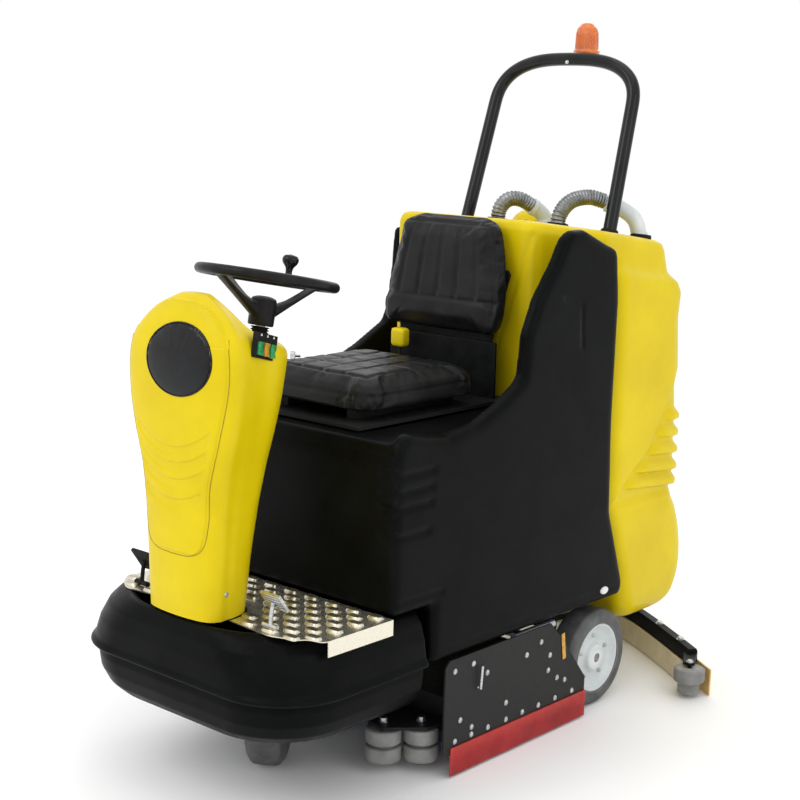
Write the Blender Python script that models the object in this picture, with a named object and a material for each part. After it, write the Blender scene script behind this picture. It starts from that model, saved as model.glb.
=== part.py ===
"""Ride-on floor scrubber, built as separate pieces in metres.

The machine stands on the floor at Z = 0 with its front towards -Y, its left side towards +X
and its centreline on X = 0. The origin is under the middle of its outline.
"""
import math

import bmesh
import bpy
from mathutils import Matrix, Vector

# Driving dimensions
GAP = 0.0003
BODY_HALF = 0.375
WING_INSIDE = 0.340
BODY_BOTTOM = 0.300
DECK_TOP = 0.848
FRONT_DECK_TOP = 0.450
RISER_Y = -0.544
FRONT_Y = -0.903
PLATE_RIGHT_X = -0.300

WHEEL_RADIUS = 0.1335
TYRE_WIDTH = 0.080
RIM_RADIUS = 0.0945
REAR_AXLE_Y = 0.3225
REAR_WHEEL_X = 0.317
AXLE_RADIUS = 0.0125

FORK_CENTRE = Vector((0.0, -0.5650, 0.0))
FORK_REST_TURN = math.radians(35)
FORK_HEAD_TOP = 0.2835
FRAME_PLATE_BOTTOM = 0.285

STEERING_CENTRE = Vector((0.0, -0.591, 1.197))
STEERING_LEAN = math.radians(11)
STEERING_AXIS = Vector((0.0, math.sin(STEERING_LEAN), math.cos(STEERING_LEAN)))
STEERING_RIM_RADIUS = 0.158
STEERING_REST_TURN = math.radians(87.5)

SEAT_HINGE_Y = -0.490
SEAT_HALF = 0.212

TANK_HALF = 0.362
TANK_WALL = 0.008
LID_CENTRE_XY = (-0.090, 0.555)
LID_RADIUS = 0.072

BAR_FOOT = Vector((0.249, 0.4255, 1.240))
BAR_BEND = Vector((0.235, 0.5325, 1.607))
BAR_TOP_Z = 1.737
BAR_RADIUS = 0.0185
BEACON_Y = 0.644

DECK_SIDE_X = 0.3785
DECK_FRONT_Y = -0.290
DECK_REAR_Y = 0.168
BRUSH_RADIUS = 0.075
BRUSH_YS = {"brush_front": -0.165, "brush_rear": 0.030}
ROLLER_RADIUS = 0.0445
ROLLER_CENTRES = {"outer": (0.296, -0.342), "inner": (0.236, -0.411)}

SQUEEGEE_REAR_Y = 0.880
SQUEEGEE_SLOPE = 0.70
SQUEEGEE_ROUND = 0.090
SQUEEGEE_HALF = 0.536
SQUEEGEE_HINGE = Vector((0.0, 0.390, 0.136))
SQUEEGEE_SWING = Vector((0.0, 0.500, 0.120))
SQUEEGEE_ROLLER = (0.503, 0.560)

YELLOW = ((0.855, 0.700, 0.008), 0.35, 0.0)
BLACK = ((0.012, 0.012, 0.013), 0.55, 0.0)
BLACK_STEEL = ((0.010, 0.010, 0.011), 0.35, 0.6)
GREY_STEEL = ((0.45, 0.45, 0.46), 0.35, 0.9)
BRIGHT_PLATE = ((0.62, 0.58, 0.48), 0.30, 0.9)
GREY_PLASTIC = ((0.42, 0.42, 0.43), 0.55, 0.0)
PALE_PLASTIC = ((0.62, 0.66, 0.66), 0.40, 0.0)
GREY_RUBBER = ((0.16, 0.16, 0.17), 0.80, 0.0)
RED_RUBBER = ((0.420, 0.012, 0.012), 0.55, 0.0)
TAN_RUBBER = ((0.800, 0.560, 0.200), 0.55, 0.0)
CREAM_RUBBER = ((0.780, 0.680, 0.480), 0.55, 0.0)
VINYL = ((0.015, 0.015, 0.016), 0.45, 0.0)
AMBER = ((0.900, 0.230, 0.010), 0.15, 0.0)
GREEN = ((0.020, 0.300, 0.100), 0.35, 0.0)
BRISTLE = ((0.050, 0.080, 0.200), 0.70, 0.0)


# Shared tools
def clear_scene():
    """Remove every object that is already in the scene."""
    for item in list(bpy.data.objects):
        bpy.data.objects.remove(item, do_unlink=True)


def principled(name, look):
    """Make one material from a colour, a roughness and a metallic value."""
    colour, roughness, metallic = look
    material = bpy.data.materials.new(name)
    material.use_nodes = True
    shader = material.node_tree.nodes["Principled BSDF"]
    shader.inputs["Base Color"].default_value = (*colour, 1.0)
    shader.inputs["Roughness"].default_value = roughness
    shader.inputs["Metallic"].default_value = metallic
    return material


def finish(name, shape, look, origin=(0, 0, 0)):
    """Turn a bmesh in world coordinates into an object whose origin is at a given point."""
    bmesh.ops.recalc_face_normals(shape, faces=shape.faces)
    bmesh.ops.translate(shape, verts=shape.verts, vec=-Vector(origin))
    mesh = bpy.data.meshes.new(name)
    shape.to_mesh(mesh)
    shape.free()
    mesh.shade_smooth()
    mesh.set_sharp_from_angle(angle=math.radians(35))
    item = bpy.data.objects.new(name, mesh)
    item.location = origin
    mesh.materials.append(principled(name, look))
    bpy.context.collection.objects.link(item)
    return item


def aimed(axis, centre):
    """Matrix that carries local Z onto an axis and the local origin onto a centre."""
    turn = Vector((0, 0, 1)).rotation_difference(Vector(axis))
    return Matrix.Translation(Vector(centre)) @ turn.to_matrix().to_4x4()


def lathe_shape(profile, axis, centre, segments):
    """Turn (radius, height) points about an axis; a profile off the axis closes on itself."""
    shape = bmesh.new()
    rings = []
    for radius, height in profile:
        count = segments if radius > 0 else 1
        ring = []
        for step in range(count):
            angle = math.tau * step / segments
            ring.append(shape.verts.new((radius * math.cos(angle), radius * math.sin(angle), height)))
        rings.append(ring)
    pairs = list(zip(rings, rings[1:]))
    if all(len(ring) > 1 for ring in rings):
        pairs.append((rings[-1], rings[0]))
    for first, second in pairs:
        for step in range(segments):
            after = (step + 1) % segments
            corners = [
                first[step % len(first)],
                first[after % len(first)],
                second[after % len(second)],
                second[step % len(second)],
            ]
            corners = list(dict.fromkeys(corners))
            if len(corners) > 2:
                shape.faces.new(corners)
    bmesh.ops.transform(shape, matrix=aimed(axis, centre), verts=shape.verts)
    return shape


def lathe(name, profile, axis, centre, look, segments=24):
    """Object turned about an axis, with its origin on that axis."""
    return finish(name, lathe_shape(profile, axis, centre, segments), look, centre)


def drum(name, radius, low, high, axis, centre, look, segments=24):
    """Plain cylinder between two heights along an axis."""
    return lathe(name, [(0, low), (radius, low), (radius, high), (0, high)], axis, centre, look, segments)


def loft_shape(rings):
    """Skin closed rings of equal point counts and cap both ends."""
    shape = bmesh.new()
    rows = [[shape.verts.new(point) for point in ring] for ring in rings]
    count = len(rows[0])
    for lower, upper in zip(rows, rows[1:]):
        for step in range(count):
            after = (step + 1) % count
            shape.faces.new((lower[step], lower[after], upper[after], upper[step]))
    shape.faces.new(rows[0])
    shape.faces.new(rows[-1])
    return shape


def loft(name, rings, look, origin=(0, 0, 0)):
    """Object skinned over rings of points."""
    return finish(name, loft_shape(rings), look, origin)


def prism(name, outline, normal, low, high, look, origin=(0, 0, 0)):
    """Extrude a flat outline along X, Y or Z between two values."""
    def corner(first, second, value):
        if normal == "X":
            return Vector((value, first, second))
        if normal == "Y":
            return Vector((first, value, second))
        return Vector((first, second, value))

    rings = [[corner(a, b, value) for a, b in outline] for value in (low, high)]
    return loft(name, rings, look, origin)


def block(name, low, high, look, origin=(0, 0, 0)):
    """Box between two corners."""
    outline = [(low[0], low[1]), (high[0], low[1]), (high[0], high[1]), (low[0], high[1])]
    return prism(name, outline, "Z", low[2], high[2], look, origin)


def tube_shape(points, radius, sides):
    """Round bar along a list of points."""
    points = [Vector(point) for point in points]
    rings = []
    side = None
    for index, point in enumerate(points):
        before = points[max(index - 1, 0)]
        after = points[min(index + 1, len(points) - 1)]
        along = (after - before).normalized()
        if side is None:
            side = along.orthogonal().normalized()
        side = (side - along * side.dot(along)).normalized()
        other = along.cross(side)
        ring = []
        for step in range(sides):
            angle = math.tau * step / sides
            ring.append(point + radius * (math.cos(angle) * side + math.sin(angle) * other))
        rings.append(ring)
    return loft_shape(rings)


def tube(name, points, radius, look, sides=10, origin=(0, 0, 0)):
    """Object that is a round bar along a list of points."""
    return finish(name, tube_shape(points, radius, sides), look, origin)


def smooth_route(points, steps=4):
    """Points along a smooth curve through a few route points."""
    points = [Vector(point) for point in points]
    padded = [2 * points[0] - points[1], *points, 2 * points[-1] - points[-2]]
    route = []
    for a, b, c, d in zip(padded, padded[1:], padded[2:], padded[3:]):
        for step in range(steps):
            t = step / steps
            route.append(0.5 * (2 * b + (c - a) * t + (2 * a - 5 * b + 4 * c - d) * t ** 2
                                + (3 * b - a - 3 * c + d) * t ** 3))
    route.append(points[-1])
    return route


def hide_tool(tool):
    """Keep a cutter or a joined helper out of the build."""
    tool.hide_render = True
    tool.display_type = "WIRE"


def boolean(target, tool, operation):
    """Add a Boolean modifier that uses a hidden helper."""
    modifier = target.modifiers.new(tool.name, "BOOLEAN")
    modifier.operation = operation
    modifier.object = tool
    modifier.solver = "EXACT"
    hide_tool(tool)


def carve(target, *tools):
    """Cut helpers out of a piece."""
    for tool in tools:
        boolean(target, tool, "DIFFERENCE")


def join(target, *tools):
    """Weld helpers onto a piece."""
    for tool in tools:
        boolean(target, tool, "UNION")


def soften(item, width, segments=1, angle=30):
    """Bevel the edges that are sharper than an angle."""
    modifier = item.modifiers.new("edges", "BEVEL")
    modifier.width = width
    modifier.segments = segments
    modifier.limit_method = "ANGLE"
    modifier.angle_limit = math.radians(angle)


def attach(item, holder):
    """Parent a piece to an empty without moving it."""
    bpy.context.view_layer.update()
    item.parent = holder
    item.matrix_parent_inverse = holder.matrix_world.inverted()


def pivot(name, place):
    """Empty that stands on a joint's axis."""
    empty = bpy.data.objects.new(name, None)
    empty.location = place
    bpy.context.collection.objects.link(empty)
    return empty


def rounded_outline(half, front, rear, front_radius, rear_radius, steps=4):
    """Plan outline with round corners, from the front left corner round to the front right."""
    corners = [
        (half - front_radius, front + front_radius, front_radius, -90),
        (half - rear_radius, rear - rear_radius, rear_radius, 0),
        (-half + rear_radius, rear - rear_radius, rear_radius, 90),
        (-half + front_radius, front + front_radius, front_radius, 180),
    ]
    outline = []
    for x, y, radius, start in corners:
        for step in range(steps + 1):
            angle = math.radians(start + 90 * step / steps)
            outline.append((x + radius * math.cos(angle), y + radius * math.sin(angle)))
    return outline


def sides():
    """Name and sign of the left and right side."""
    return (("left", 1), ("right", -1))


# Chassis
def make_chassis():
    """Welded frame, its rear axle and the battery pack on its tray."""
    frame = block("chassis_frame", (-0.20, -0.80, FRAME_PLATE_BOTTOM), (0.20, -0.38, 0.297), BLACK_STEEL)
    beam = block("beam_rear", (-0.25, 0.325, 0.292), (0.25, 0.370, 0.343), BLACK_STEEL)
    tray = block("tray", (-0.19, -0.380, 0.340), (0.19, 0.360, 0.346), BLACK_STEEL)
    join(frame, beam, tray)
    for side, sign in sides():
        inner, outer = sorted((sign * 0.160, sign * 0.198))
        rail = block(f"rail_{side}", (inner, -0.45, 0.291), (outer, 0.368, 0.342), BLACK_STEEL)
        inner, outer = sorted((sign * 0.183, sign * 0.197))
        lug = block(f"lug_{side}", (inner, REAR_AXLE_Y - 0.025, 0.112),
                    (outer, REAR_AXLE_Y + 0.025, 0.310), BLACK_STEEL)
        inner, outer = sorted((sign * 0.032, sign * 0.040))
        cheek = block(f"cheek_{side}", (inner, 0.345, 0.122), (outer, 0.412, 0.2985), BLACK_STEEL)
        join(frame, rail, lug, cheek)
    hole = drum("fork_hole", 0.080, 0.27, 0.31, (0, 0, 1), FORK_CENTRE, BLACK_STEEL, 32)
    axle_centre = (0, REAR_AXLE_Y, WHEEL_RADIUS)
    axle_hole = drum("axle_hole", AXLE_RADIUS + GAP, -0.3, 0.3, (1, 0, 0), axle_centre, BLACK_STEEL, 16)
    pin_hole = drum("pin_hole", 0.0063, -0.1, 0.1, (1, 0, 0), SQUEEGEE_HINGE, BLACK_STEEL, 12)
    carve(frame, hole, axle_hole, pin_hole)
    drum("rear_axle", AXLE_RADIUS, -0.352, 0.352, (1, 0, 0), axle_centre, GREY_STEEL, 16)
    pack = block("battery_pack", (-0.185, -0.375, 0.3465), (0.185, -0.01, 0.640), GREY_PLASTIC)
    soften(pack, 0.008)
    profile = [(0, 0), (0.075, 0), (0.075, 0.11), (0.055, 0.13), (0.055, 0.19), (0, 0.19)]
    lathe("vacuum_motor", profile, (0, 0, 1), (0, 0.19, 0.3465), GREY_STEEL, 20)


def make_front_base():
    """Front deck moulding, the bumper under its lip, and the tread plate on top."""
    def ring(z, half, front, radius, rear=-0.420):
        return [Vector((x, y, z)) for x, y in rounded_outline(half, front, rear, radius, 0.012, 5)]

    top = FRONT_DECK_TOP - 0.0035
    levels = [(0.302, 0.376, -0.893, 0.185), (0.311, 0.388, FRONT_Y, 0.180), (0.325, 0.379, -0.900, 0.185),
              (0.370, 0.372, -0.896, 0.200), (0.410, 0.360, -0.890, 0.220), (0.433, 0.341, -0.882, 0.230),
              (top, 0.312, -0.874, 0.220)]
    shell = loft("front_base_shell", [ring(*level) for level in levels], BLACK)
    hollow = [(0.290, 0.367, -0.884, 0.180), (0.370, 0.363, -0.887, 0.194), (0.405, 0.351, -0.881, 0.213),
              (0.427, 0.333, -0.873, 0.223), (top - 0.007, 0.305, -0.865, 0.213)]
    carve(shell, loft("base_hollow", [ring(*level, rear=-0.428) for level in hollow], BLACK),
          block("rail_notch", (-0.205, -0.45, 0.28), (0.205, -0.40, 0.360), BLACK))

    levels = [(0.190, 0.305, -0.835, 0.180), (0.200, 0.330, -0.858, 0.180), (0.220, 0.351, -0.876, 0.180),
              (0.252, 0.367, -0.887, 0.180), (0.285, 0.371, -0.891, 0.182), (0.3015, 0.368, -0.888, 0.184)]
    bumper = loft("front_bumper", [ring(*level) for level in levels], BLACK)
    hollow = [(0.170, 0.290, -0.815, 0.170), (0.220, 0.341, -0.866, 0.170), (0.285, 0.361, -0.881, 0.172),
              (0.320, 0.361, -0.881, 0.172)]
    carve(bumper, loft("bumper_hollow", [ring(*level, rear=-0.38) for level in hollow], BLACK))

    plate = block("step_plate", (PLATE_RIGHT_X, -0.772, FRONT_DECK_TOP - 0.003),
                  (0.3775, RISER_Y - 0.0015, FRONT_DECK_TOP), BRIGHT_PLATE)
    front = [(0.352, -0.760), (-0.285, -0.760), (-0.275, -0.800), (-0.230, -0.822),
             (0.260, -0.822), (0.335, -0.800)]
    nose = prism("plate_nose", front, "Z", FRONT_DECK_TOP - 0.0025, FRONT_DECK_TOP - 0.0002, BRIGHT_PLATE)
    join(plate, nose)
    flange = block("flange", (0.3745, -0.772, 0.412), (0.3775, RISER_Y - 0.0015, FRONT_DECK_TOP - 0.001),
                   BRIGHT_PLATE)
    join(plate, flange)
    opening = prism("plate_opening", rounded_outline(0.123, -0.95, -0.700, 0.02, 0.11),
                    "Z", 0.40, 0.50, BRIGHT_PLATE)
    carve(plate, opening)


# Steering column
def column_ring(z, wide, wide_y, narrow, narrow_y, front, rear, inset=0.0):
    """Plan outline of the column: bowed front, tapering sides and a round back."""
    depth = wide_y - front
    half = [
        (0.50 * wide, front + 0.10 * depth),
        (0.84 * wide, front + 0.38 * depth),
        (wide, wide_y),
        (0.55 * wide + 0.45 * narrow, 0.5 * wide_y + 0.5 * narrow_y),
        (narrow, narrow_y),
    ]
    for degrees in (25, 50, 72):
        angle = math.radians(degrees)
        half.append((narrow * math.cos(angle), narrow_y + (rear - narrow_y) * math.sin(angle)))
    outline = [(0.0, front), *half, (0.0, rear), *[(-x, y) for x, y in reversed(half)]]
    outline = [(COLUMN_X + x, y) for x, y in outline]
    middle = Vector((COLUMN_X, 0.5 * (front + rear)))
    ring = []
    for x, y in outline:
        arm = Vector((x, y)) - middle
        point = middle + arm * max(0.0, 1.0 - inset / arm.length)
        ring.append(Vector((point.x, point.y, z)))
    return ring


COLUMN_LEVELS = [
    (0.4515, 0.114, -0.845, 0.112, -0.800, -0.880, -0.707),
    (0.58, 0.118, -0.845, 0.115, -0.790, -0.885, -0.690),
    (0.7, 0.126, -0.845, 0.119, -0.780, -0.885, -0.665),
    (0.79, 0.138, -0.848, 0.127, -0.770, -0.887, -0.643),
    (0.87, 0.163, -0.850, 0.139, -0.758, -0.889, -0.622),
    (0.94, 0.177, -0.850, 0.146, -0.748, -0.890, -0.606),
    (1.01, 0.180, -0.850, 0.148, -0.740, -0.889, -0.592),
    (1.046, 0.177, -0.849, 0.148, -0.740, -0.887, -0.583),
    (1.06, 0.175, -0.848, 0.146, -0.742, -0.886, -0.604),
    (1.08, 0.170, -0.846, 0.140, -0.750, -0.883, -0.670),
    (1.096, 0.159, -0.842, 0.131, -0.762, -0.879, -0.725),
    (1.112, 0.144, -0.838, 0.120, -0.778, -0.874, -0.765),
    (1.138, 0.119, -0.832, 0.100, -0.792, -0.866, -0.778),
    (1.162, 0.083, -0.826, 0.070, -0.802, -0.854, -0.787),
    (1.178, 0.038, -0.820, 0.036, -0.806, -0.836, -0.796),
]
COLUMN_X = 0.008
COVER_WALL = 0.005
COVER_SPLIT_Y = -0.836
PANEL_CENTRE = Vector((0.157, -0.748, 1.070))
PANEL_YAW = math.radians(19)
PANEL_SLOPE = math.radians(-14)
PANEL_SIZE = (0.010, 0.100, 0.056)


def cover_outline(grow):
    """Teardrop front view of the front cover, widened by a small amount."""
    half = [(0.056, 0.600), (0.090, 0.622), (0.104, 0.680), (0.112, 0.770), (0.140, 0.870),
            (0.161, 0.960), (0.165, 1.030), (0.152, 1.090), (0.122, 1.130), (0.076, 1.158)]
    half = [(x + grow, z + grow * (z - 0.9) * 3) for x, z in half]
    outline = [*half, (0.0, 1.172 + grow), *[(-x, z) for x, z in reversed(half)]]
    return [(COLUMN_X + x, z) for x, z in outline]


def column_body(name, inset, drop):
    """Whole outer form of the column, or its hollow when it is inset."""
    rings = []
    for z, *rest in COLUMN_LEVELS:
        rings.append(column_ring(z - drop, *rest, inset=inset))
    return loft(name, rings, YELLOW)


def slab(name, centre, size, slope, look, yaw=0.0):
    """Box centred on a point, sloped about X and then turned about Z."""
    shape = bmesh.new()
    bmesh.ops.create_cube(shape, size=1.0)
    turn = Matrix.Rotation(yaw, 4, "Z") @ Matrix.Rotation(slope, 4, "X")
    bmesh.ops.transform(shape, matrix=Matrix.Translation(centre) @ turn @ Matrix.Diagonal((*size, 1.0)),
                        verts=shape.verts)
    return finish(name, shape, look, centre)


def make_column():
    """Covers, post, boot, switch panel and its switches."""
    front = column_body("column_front_cover", 0.0, 0.0)
    front_hollow = column_body("front_hollow", COVER_WALL, 0.006)
    keep = prism("front_keep", cover_outline(0.0), "Y", -1.0, COVER_SPLIT_Y, YELLOW)
    boolean(front, keep, "INTERSECT")
    carve(front, front_hollow)

    rear = column_body("column_rear_cover", 0.0, 0.0)
    rear_hollow = column_body("rear_hollow", COVER_WALL, 0.006)
    opening = prism("front_opening", cover_outline(GAP), "Y", -1.0, COVER_SPLIT_Y + GAP, YELLOW)
    shaft_hole = drum("shaft_hole", 0.0245, -0.2, 0.0, STEERING_AXIS, STEERING_CENTRE, YELLOW, 20)
    size = Vector(PANEL_SIZE) + Vector((0.0006, 0.0006, 0.0006))
    recess = slab("panel_recess", PANEL_CENTRE, size, PANEL_SLOPE, YELLOW, PANEL_YAW)
    carve(rear, rear_hollow, opening, shaft_hole, recess)

    panel = slab("control_panel", PANEL_CENTRE, PANEL_SIZE, PANEL_SLOPE, BLACK, PANEL_YAW)
    turn = Matrix.Rotation(PANEL_YAW, 3, "Z") @ Matrix.Rotation(PANEL_SLOPE, 3, "X")
    looks = {"rocker_front": GREEN, "rocker_middle": AMBER, "rocker_rear": GREEN}
    for place, (name, look) in enumerate(looks.items()):
        centre = PANEL_CENTRE + turn @ Vector((0.007, (place - 1) * 0.030, -0.007))
        pocket = slab(f"{name}_pocket", centre, (0.014, 0.0235, 0.0325), PANEL_SLOPE, BLACK, PANEL_YAW)
        carve(panel, pocket)
        rocker = slab(name, centre, (0.007, 0.0215, 0.0300), PANEL_SLOPE, look, PANEL_YAW)
        soften(rocker, 0.001)

    key_axis = Vector((1, 1, 0)).normalized()
    key_place = Vector((0.094, -0.628, 1.030))
    key_profile = [(0, 0), (0.011, 0), (0.011, 0.010), (0.0075, 0.012), (0.0075, 0.022), (0, 0.022)]
    lathe("key_switch", key_profile, key_axis, key_place + key_axis * 0.016, BLACK, 16)

    post_profile = [(0.0125, -0.42), (0.018, -0.42), (0.018, -0.19), (0.0125, -0.19)]
    lathe("column_post", post_profile, STEERING_AXIS, STEERING_CENTRE, BLACK_STEEL, 16)
    folds = [(0.0125, -0.142), (0.0125, -0.1135)]
    for fold in range(4):
        folds.append((0.0220, -0.1165 - 0.0065 * fold))
        folds.append((0.0180, -0.1197 - 0.0065 * fold))
    lathe("column_boot", folds, STEERING_AXIS, STEERING_CENTRE, BLACK, 16)


def make_steering_wheel():
    """Wheel with its three dished spokes, its shaft and the spinner knob."""
    rim = []
    for step in range(8):
        angle = math.tau * step / 8
        rim.append((STEERING_RIM_RADIUS + 0.0125 * math.cos(angle), 0.0125 * math.sin(angle)))
    wheel = lathe("steering_wheel", rim, STEERING_AXIS, STEERING_CENTRE, BLACK, 32)
    hub = [(0, -0.112), (0.031, -0.112), (0.031, -0.052), (0.024, -0.044), (0, -0.044)]
    join(wheel, lathe("wheel_hub", hub, STEERING_AXIS, STEERING_CENTRE, BLACK, 16))
    frame = aimed(STEERING_AXIS, STEERING_CENTRE)
    for index, degrees in enumerate((-90, 0, 90)):
        turn = Matrix.Rotation(STEERING_REST_TURN + math.radians(degrees + 90), 4, "Z")
        rings = []
        for reach, height, width, thick in ((0.019, -0.083, 0.016, 0.018), (0.075, -0.052, 0.016, 0.008),
                                            (0.152, -0.002, 0.017, 0.005)):
            ring = []
            for across, up in ((-1, -1), (1, -1), (1, 1), (-1, 1)):
                ring.append(frame @ turn @ Vector((reach, across * width, height + up * thick)))
            rings.append(ring)
        join(wheel, loft(f"spoke_{index}", rings, BLACK))
    drum("steering_shaft", 0.0120, -0.570, -0.1123, STEERING_AXIS, STEERING_CENTRE, GREY_STEEL, 12)
    knob_angle = math.radians(118)
    knob_place = frame @ Vector((STEERING_RIM_RADIUS * math.cos(knob_angle),
                                 STEERING_RIM_RADIUS * math.sin(knob_angle), 0.0130))
    profile = [(0, 0), (0.0100, 0), (0.0075, 0.012), (0.0090, 0.022), (0.0190, 0.036),
               (0.0210, 0.043), (0.0160, 0.052), (0, 0.055)]
    lathe("steering_knob", profile, STEERING_AXIS, knob_place, BLACK, 16)


# Wheels
def tyre_profile(inner, outer, half_width):
    """Tyre section with rounded shoulders."""
    shoulder = 0.012
    return [(inner, -half_width), (outer - shoulder, -half_width), (outer, -half_width + shoulder),
            (outer, half_width - shoulder), (outer - shoulder, half_width), (inner, half_width)]


def make_wheels():
    """Rear wheels on the fixed axle, and the steered drive wheel in its fork."""
    half = TYRE_WIDTH / 2
    for side, sign in sides():
        centre = (sign * REAR_WHEEL_X, REAR_AXLE_Y, WHEEL_RADIUS)
        axis = (sign, 0, 0)
        lathe(f"rear_tyre_{side}", tyre_profile(RIM_RADIUS + GAP, WHEEL_RADIUS, half), axis, centre,
              GREY_RUBBER, 32)
        bore = AXLE_RADIUS + GAP
        profile = [(bore, -0.036), (0.035, -0.036), (0.035, -0.004), (0.080, -0.004), (0.086, -0.036),
                   (RIM_RADIUS, -0.036), (RIM_RADIUS, 0.037), (0.085, 0.037), (0.076, 0.022),
                   (0.040, 0.022), (0.034, 0.036), (bore, 0.036)]
        lathe(f"rear_rim_{side}", profile, axis, centre, PALE_PLASTIC, 32)

    turn = Matrix.Translation(FORK_CENTRE) @ Matrix.Rotation(FORK_REST_TURN, 4, "Z")
    axle = (turn.to_3x3() @ Vector((1, 0, 0)))
    hub_centre = turn @ Vector((0, 0, WHEEL_RADIUS))
    lathe("front_tyre", tyre_profile(0.0755, WHEEL_RADIUS, 0.0425), axle, hub_centre, GREY_RUBBER, 36)
    hub = [(0, -0.063), (0.010, -0.063), (0.010, -0.046), (0.050, -0.046), (0.050, -0.036),
           (0.0752, -0.036), (0.0752, 0.036), (0.050, 0.036), (0.050, 0.046), (0.010, 0.046),
           (0.010, 0.063), (0, 0.063)]
    lathe("front_hub", hub, axle, hub_centre, GREY_STEEL, 24)

    fork = drum("steering_fork", 0.095, 0.2715, FORK_HEAD_TOP, (0, 0, 1), FORK_CENTRE, BLACK_STEEL, 28)
    for side, sign in sides():
        rings = []
        for across in (0.050, 0.060):
            outline = [(-0.035, 0.275), (-0.026, 0.125), (0.0, 0.108), (0.026, 0.125), (0.035, 0.275)]
            rings.append([turn @ Vector((sign * across, y, z)) for y, z in outline])
        join(fork, loft(f"fork_leg_{side}", rings, BLACK_STEEL))
    carve(fork, drum("fork_bore", 0.0103, -0.1, 0.1, axle, hub_centre, BLACK_STEEL, 16))
    profile = [(0, 0.2838), (0.062, 0.2838), (0.062, 0.300), (0.088, 0.300), (0.088, 0.308),
               (0.060, 0.308), (0.060, 0.415), (0.050, 0.425), (0, 0.425)]
    lathe("drive_motor", profile, (0, 0, 1), FORK_CENTRE, GREY_STEEL, 24)


# Body and tanks
def make_solution_tank():
    """Black moulding: seat deck, shoulders and side wings, hollow and open underneath."""
    outline = [(RISER_Y, 0.4475), (RISER_Y, 0.800), (-0.535, 0.845), (-0.508, 0.873),
               (-0.430, 0.858), (-0.360, 0.848), (-0.257, 0.864), (-0.167, 0.900), (-0.083, 0.948),
               (-0.070, 1.060), (-0.030, 1.145), (0.036, 1.228), (0.070, 1.286), (0.100, 1.302),
               (0.153, 1.304), (0.252, 1.264), (0.302, 1.248), (0.318, 1.115), (0.314, 0.800),
               (0.326, 0.546), (0.403, 0.335), (0.395, BODY_BOTTOM), (-0.400, BODY_BOTTOM),
               (-0.400, 0.4475)]
    body = prism("solution_tank", outline, "X", -BODY_HALF, BODY_HALF, BLACK)
    soften(body, 0.016, 2)
    wall = 0.012
    seat_space = block("seat_space", (-WING_INSIDE, -0.70, DECK_TOP), (WING_INSIDE, 0.056, 1.5), BLACK)
    tank_space = block("tank_space", (-WING_INSIDE, 0.050, 0.595), (WING_INSIDE, 0.60, 1.5), BLACK)
    inside = [(RISER_Y + wall, 0.4475 + wall), (RISER_Y + wall, DECK_TOP - wall),
              (0.038, DECK_TOP - wall), (0.038, 0.583), (0.300, 0.583), (0.310, 0.546),
              (0.380, 0.335), (0.380, 0.20), (-0.388, 0.20), (-0.388, 0.4475 + wall)]
    hollow = prism("body_hollow", inside, "X", -BODY_HALF + wall, BODY_HALF - wall, BLACK)
    bay = block("battery_bay", (-0.200, -0.43, 0.80), (0.200, -0.010, 0.90), BLACK)
    low_side = [(-0.257, 0.866), (-0.100, 0.886), (0.050, 0.914), (0.105, 0.936), (0.215, 0.992),
                (0.243, 1.050), (0.258, 1.200), (0.268, 1.400), (-0.257, 1.400)]
    right_cut = prism("right_wing_cut", low_side, "X", -0.420, -0.330, BLACK)
    notch = block("frame_notch", (-0.215, -0.42, 0.20), (0.215, -0.37, 0.360), BLACK)
    carve(body, seat_space, tank_space, right_cut, hollow, bay, notch)


def tank_top(y):
    """Height of the recovery tank's sloping top."""
    return 1.322 - 0.14 * (y - 0.10)


TANK_LEVELS = [
    (0.186, 0.285, 0.505, 0.655), (0.200, 0.325, 0.470, 0.708), (0.235, 0.352, 0.447, 0.742),
    (0.330, TANK_HALF, 0.414, 0.764), (0.440, TANK_HALF, 0.374, 0.748), (0.505, TANK_HALF, 0.350, 0.718),
    (0.535, 0.355, 0.340, 0.697), (0.580, TANK_HALF, 0.334, 0.716), (0.780, TANK_HALF, 0.332, 0.714),
    (0.900, TANK_HALF, 0.332, 0.700), (1.040, TANK_HALF, 0.332, 0.686),
]
TANK_SHOULDERS = [(0.135, TANK_HALF, 0.332, 0.676), (0.108, 0.356, 0.334, 0.664),
                  (0.085, 0.334, 0.340, 0.640), (0.016, 0.325, 0.345, 0.632), (0.000, 0.308, 0.360, 0.618)]


def tank_body(name, inset):
    """Wide rear part of the recovery tank, or its hollow when it is inset."""
    radius = 0.085 - inset
    rings = []
    for z, half, front, rear in TANK_LEVELS:
        z = z + inset if z < 0.3 else z
        outline = rounded_outline(half - inset, front + inset, rear - inset, 0.045, radius, 3)
        rings.append([Vector((x, y, z)) for x, y in outline])
    for drop, half, front, rear in TANK_SHOULDERS:
        outline = rounded_outline(half - inset, front + inset, rear - inset, 0.045, radius - 0.030, 3)
        rings.append([Vector((x, y, tank_top(y) - drop - inset)) for x, y in outline])
    return loft(name, rings, YELLOW)


NECK_OUTLINE = [(0.196, 0.115), (0.226, 0.122), (0.244, 0.142), (0.300, 0.245), (0.328, 0.310),
                (0.328, 0.450)]


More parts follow.
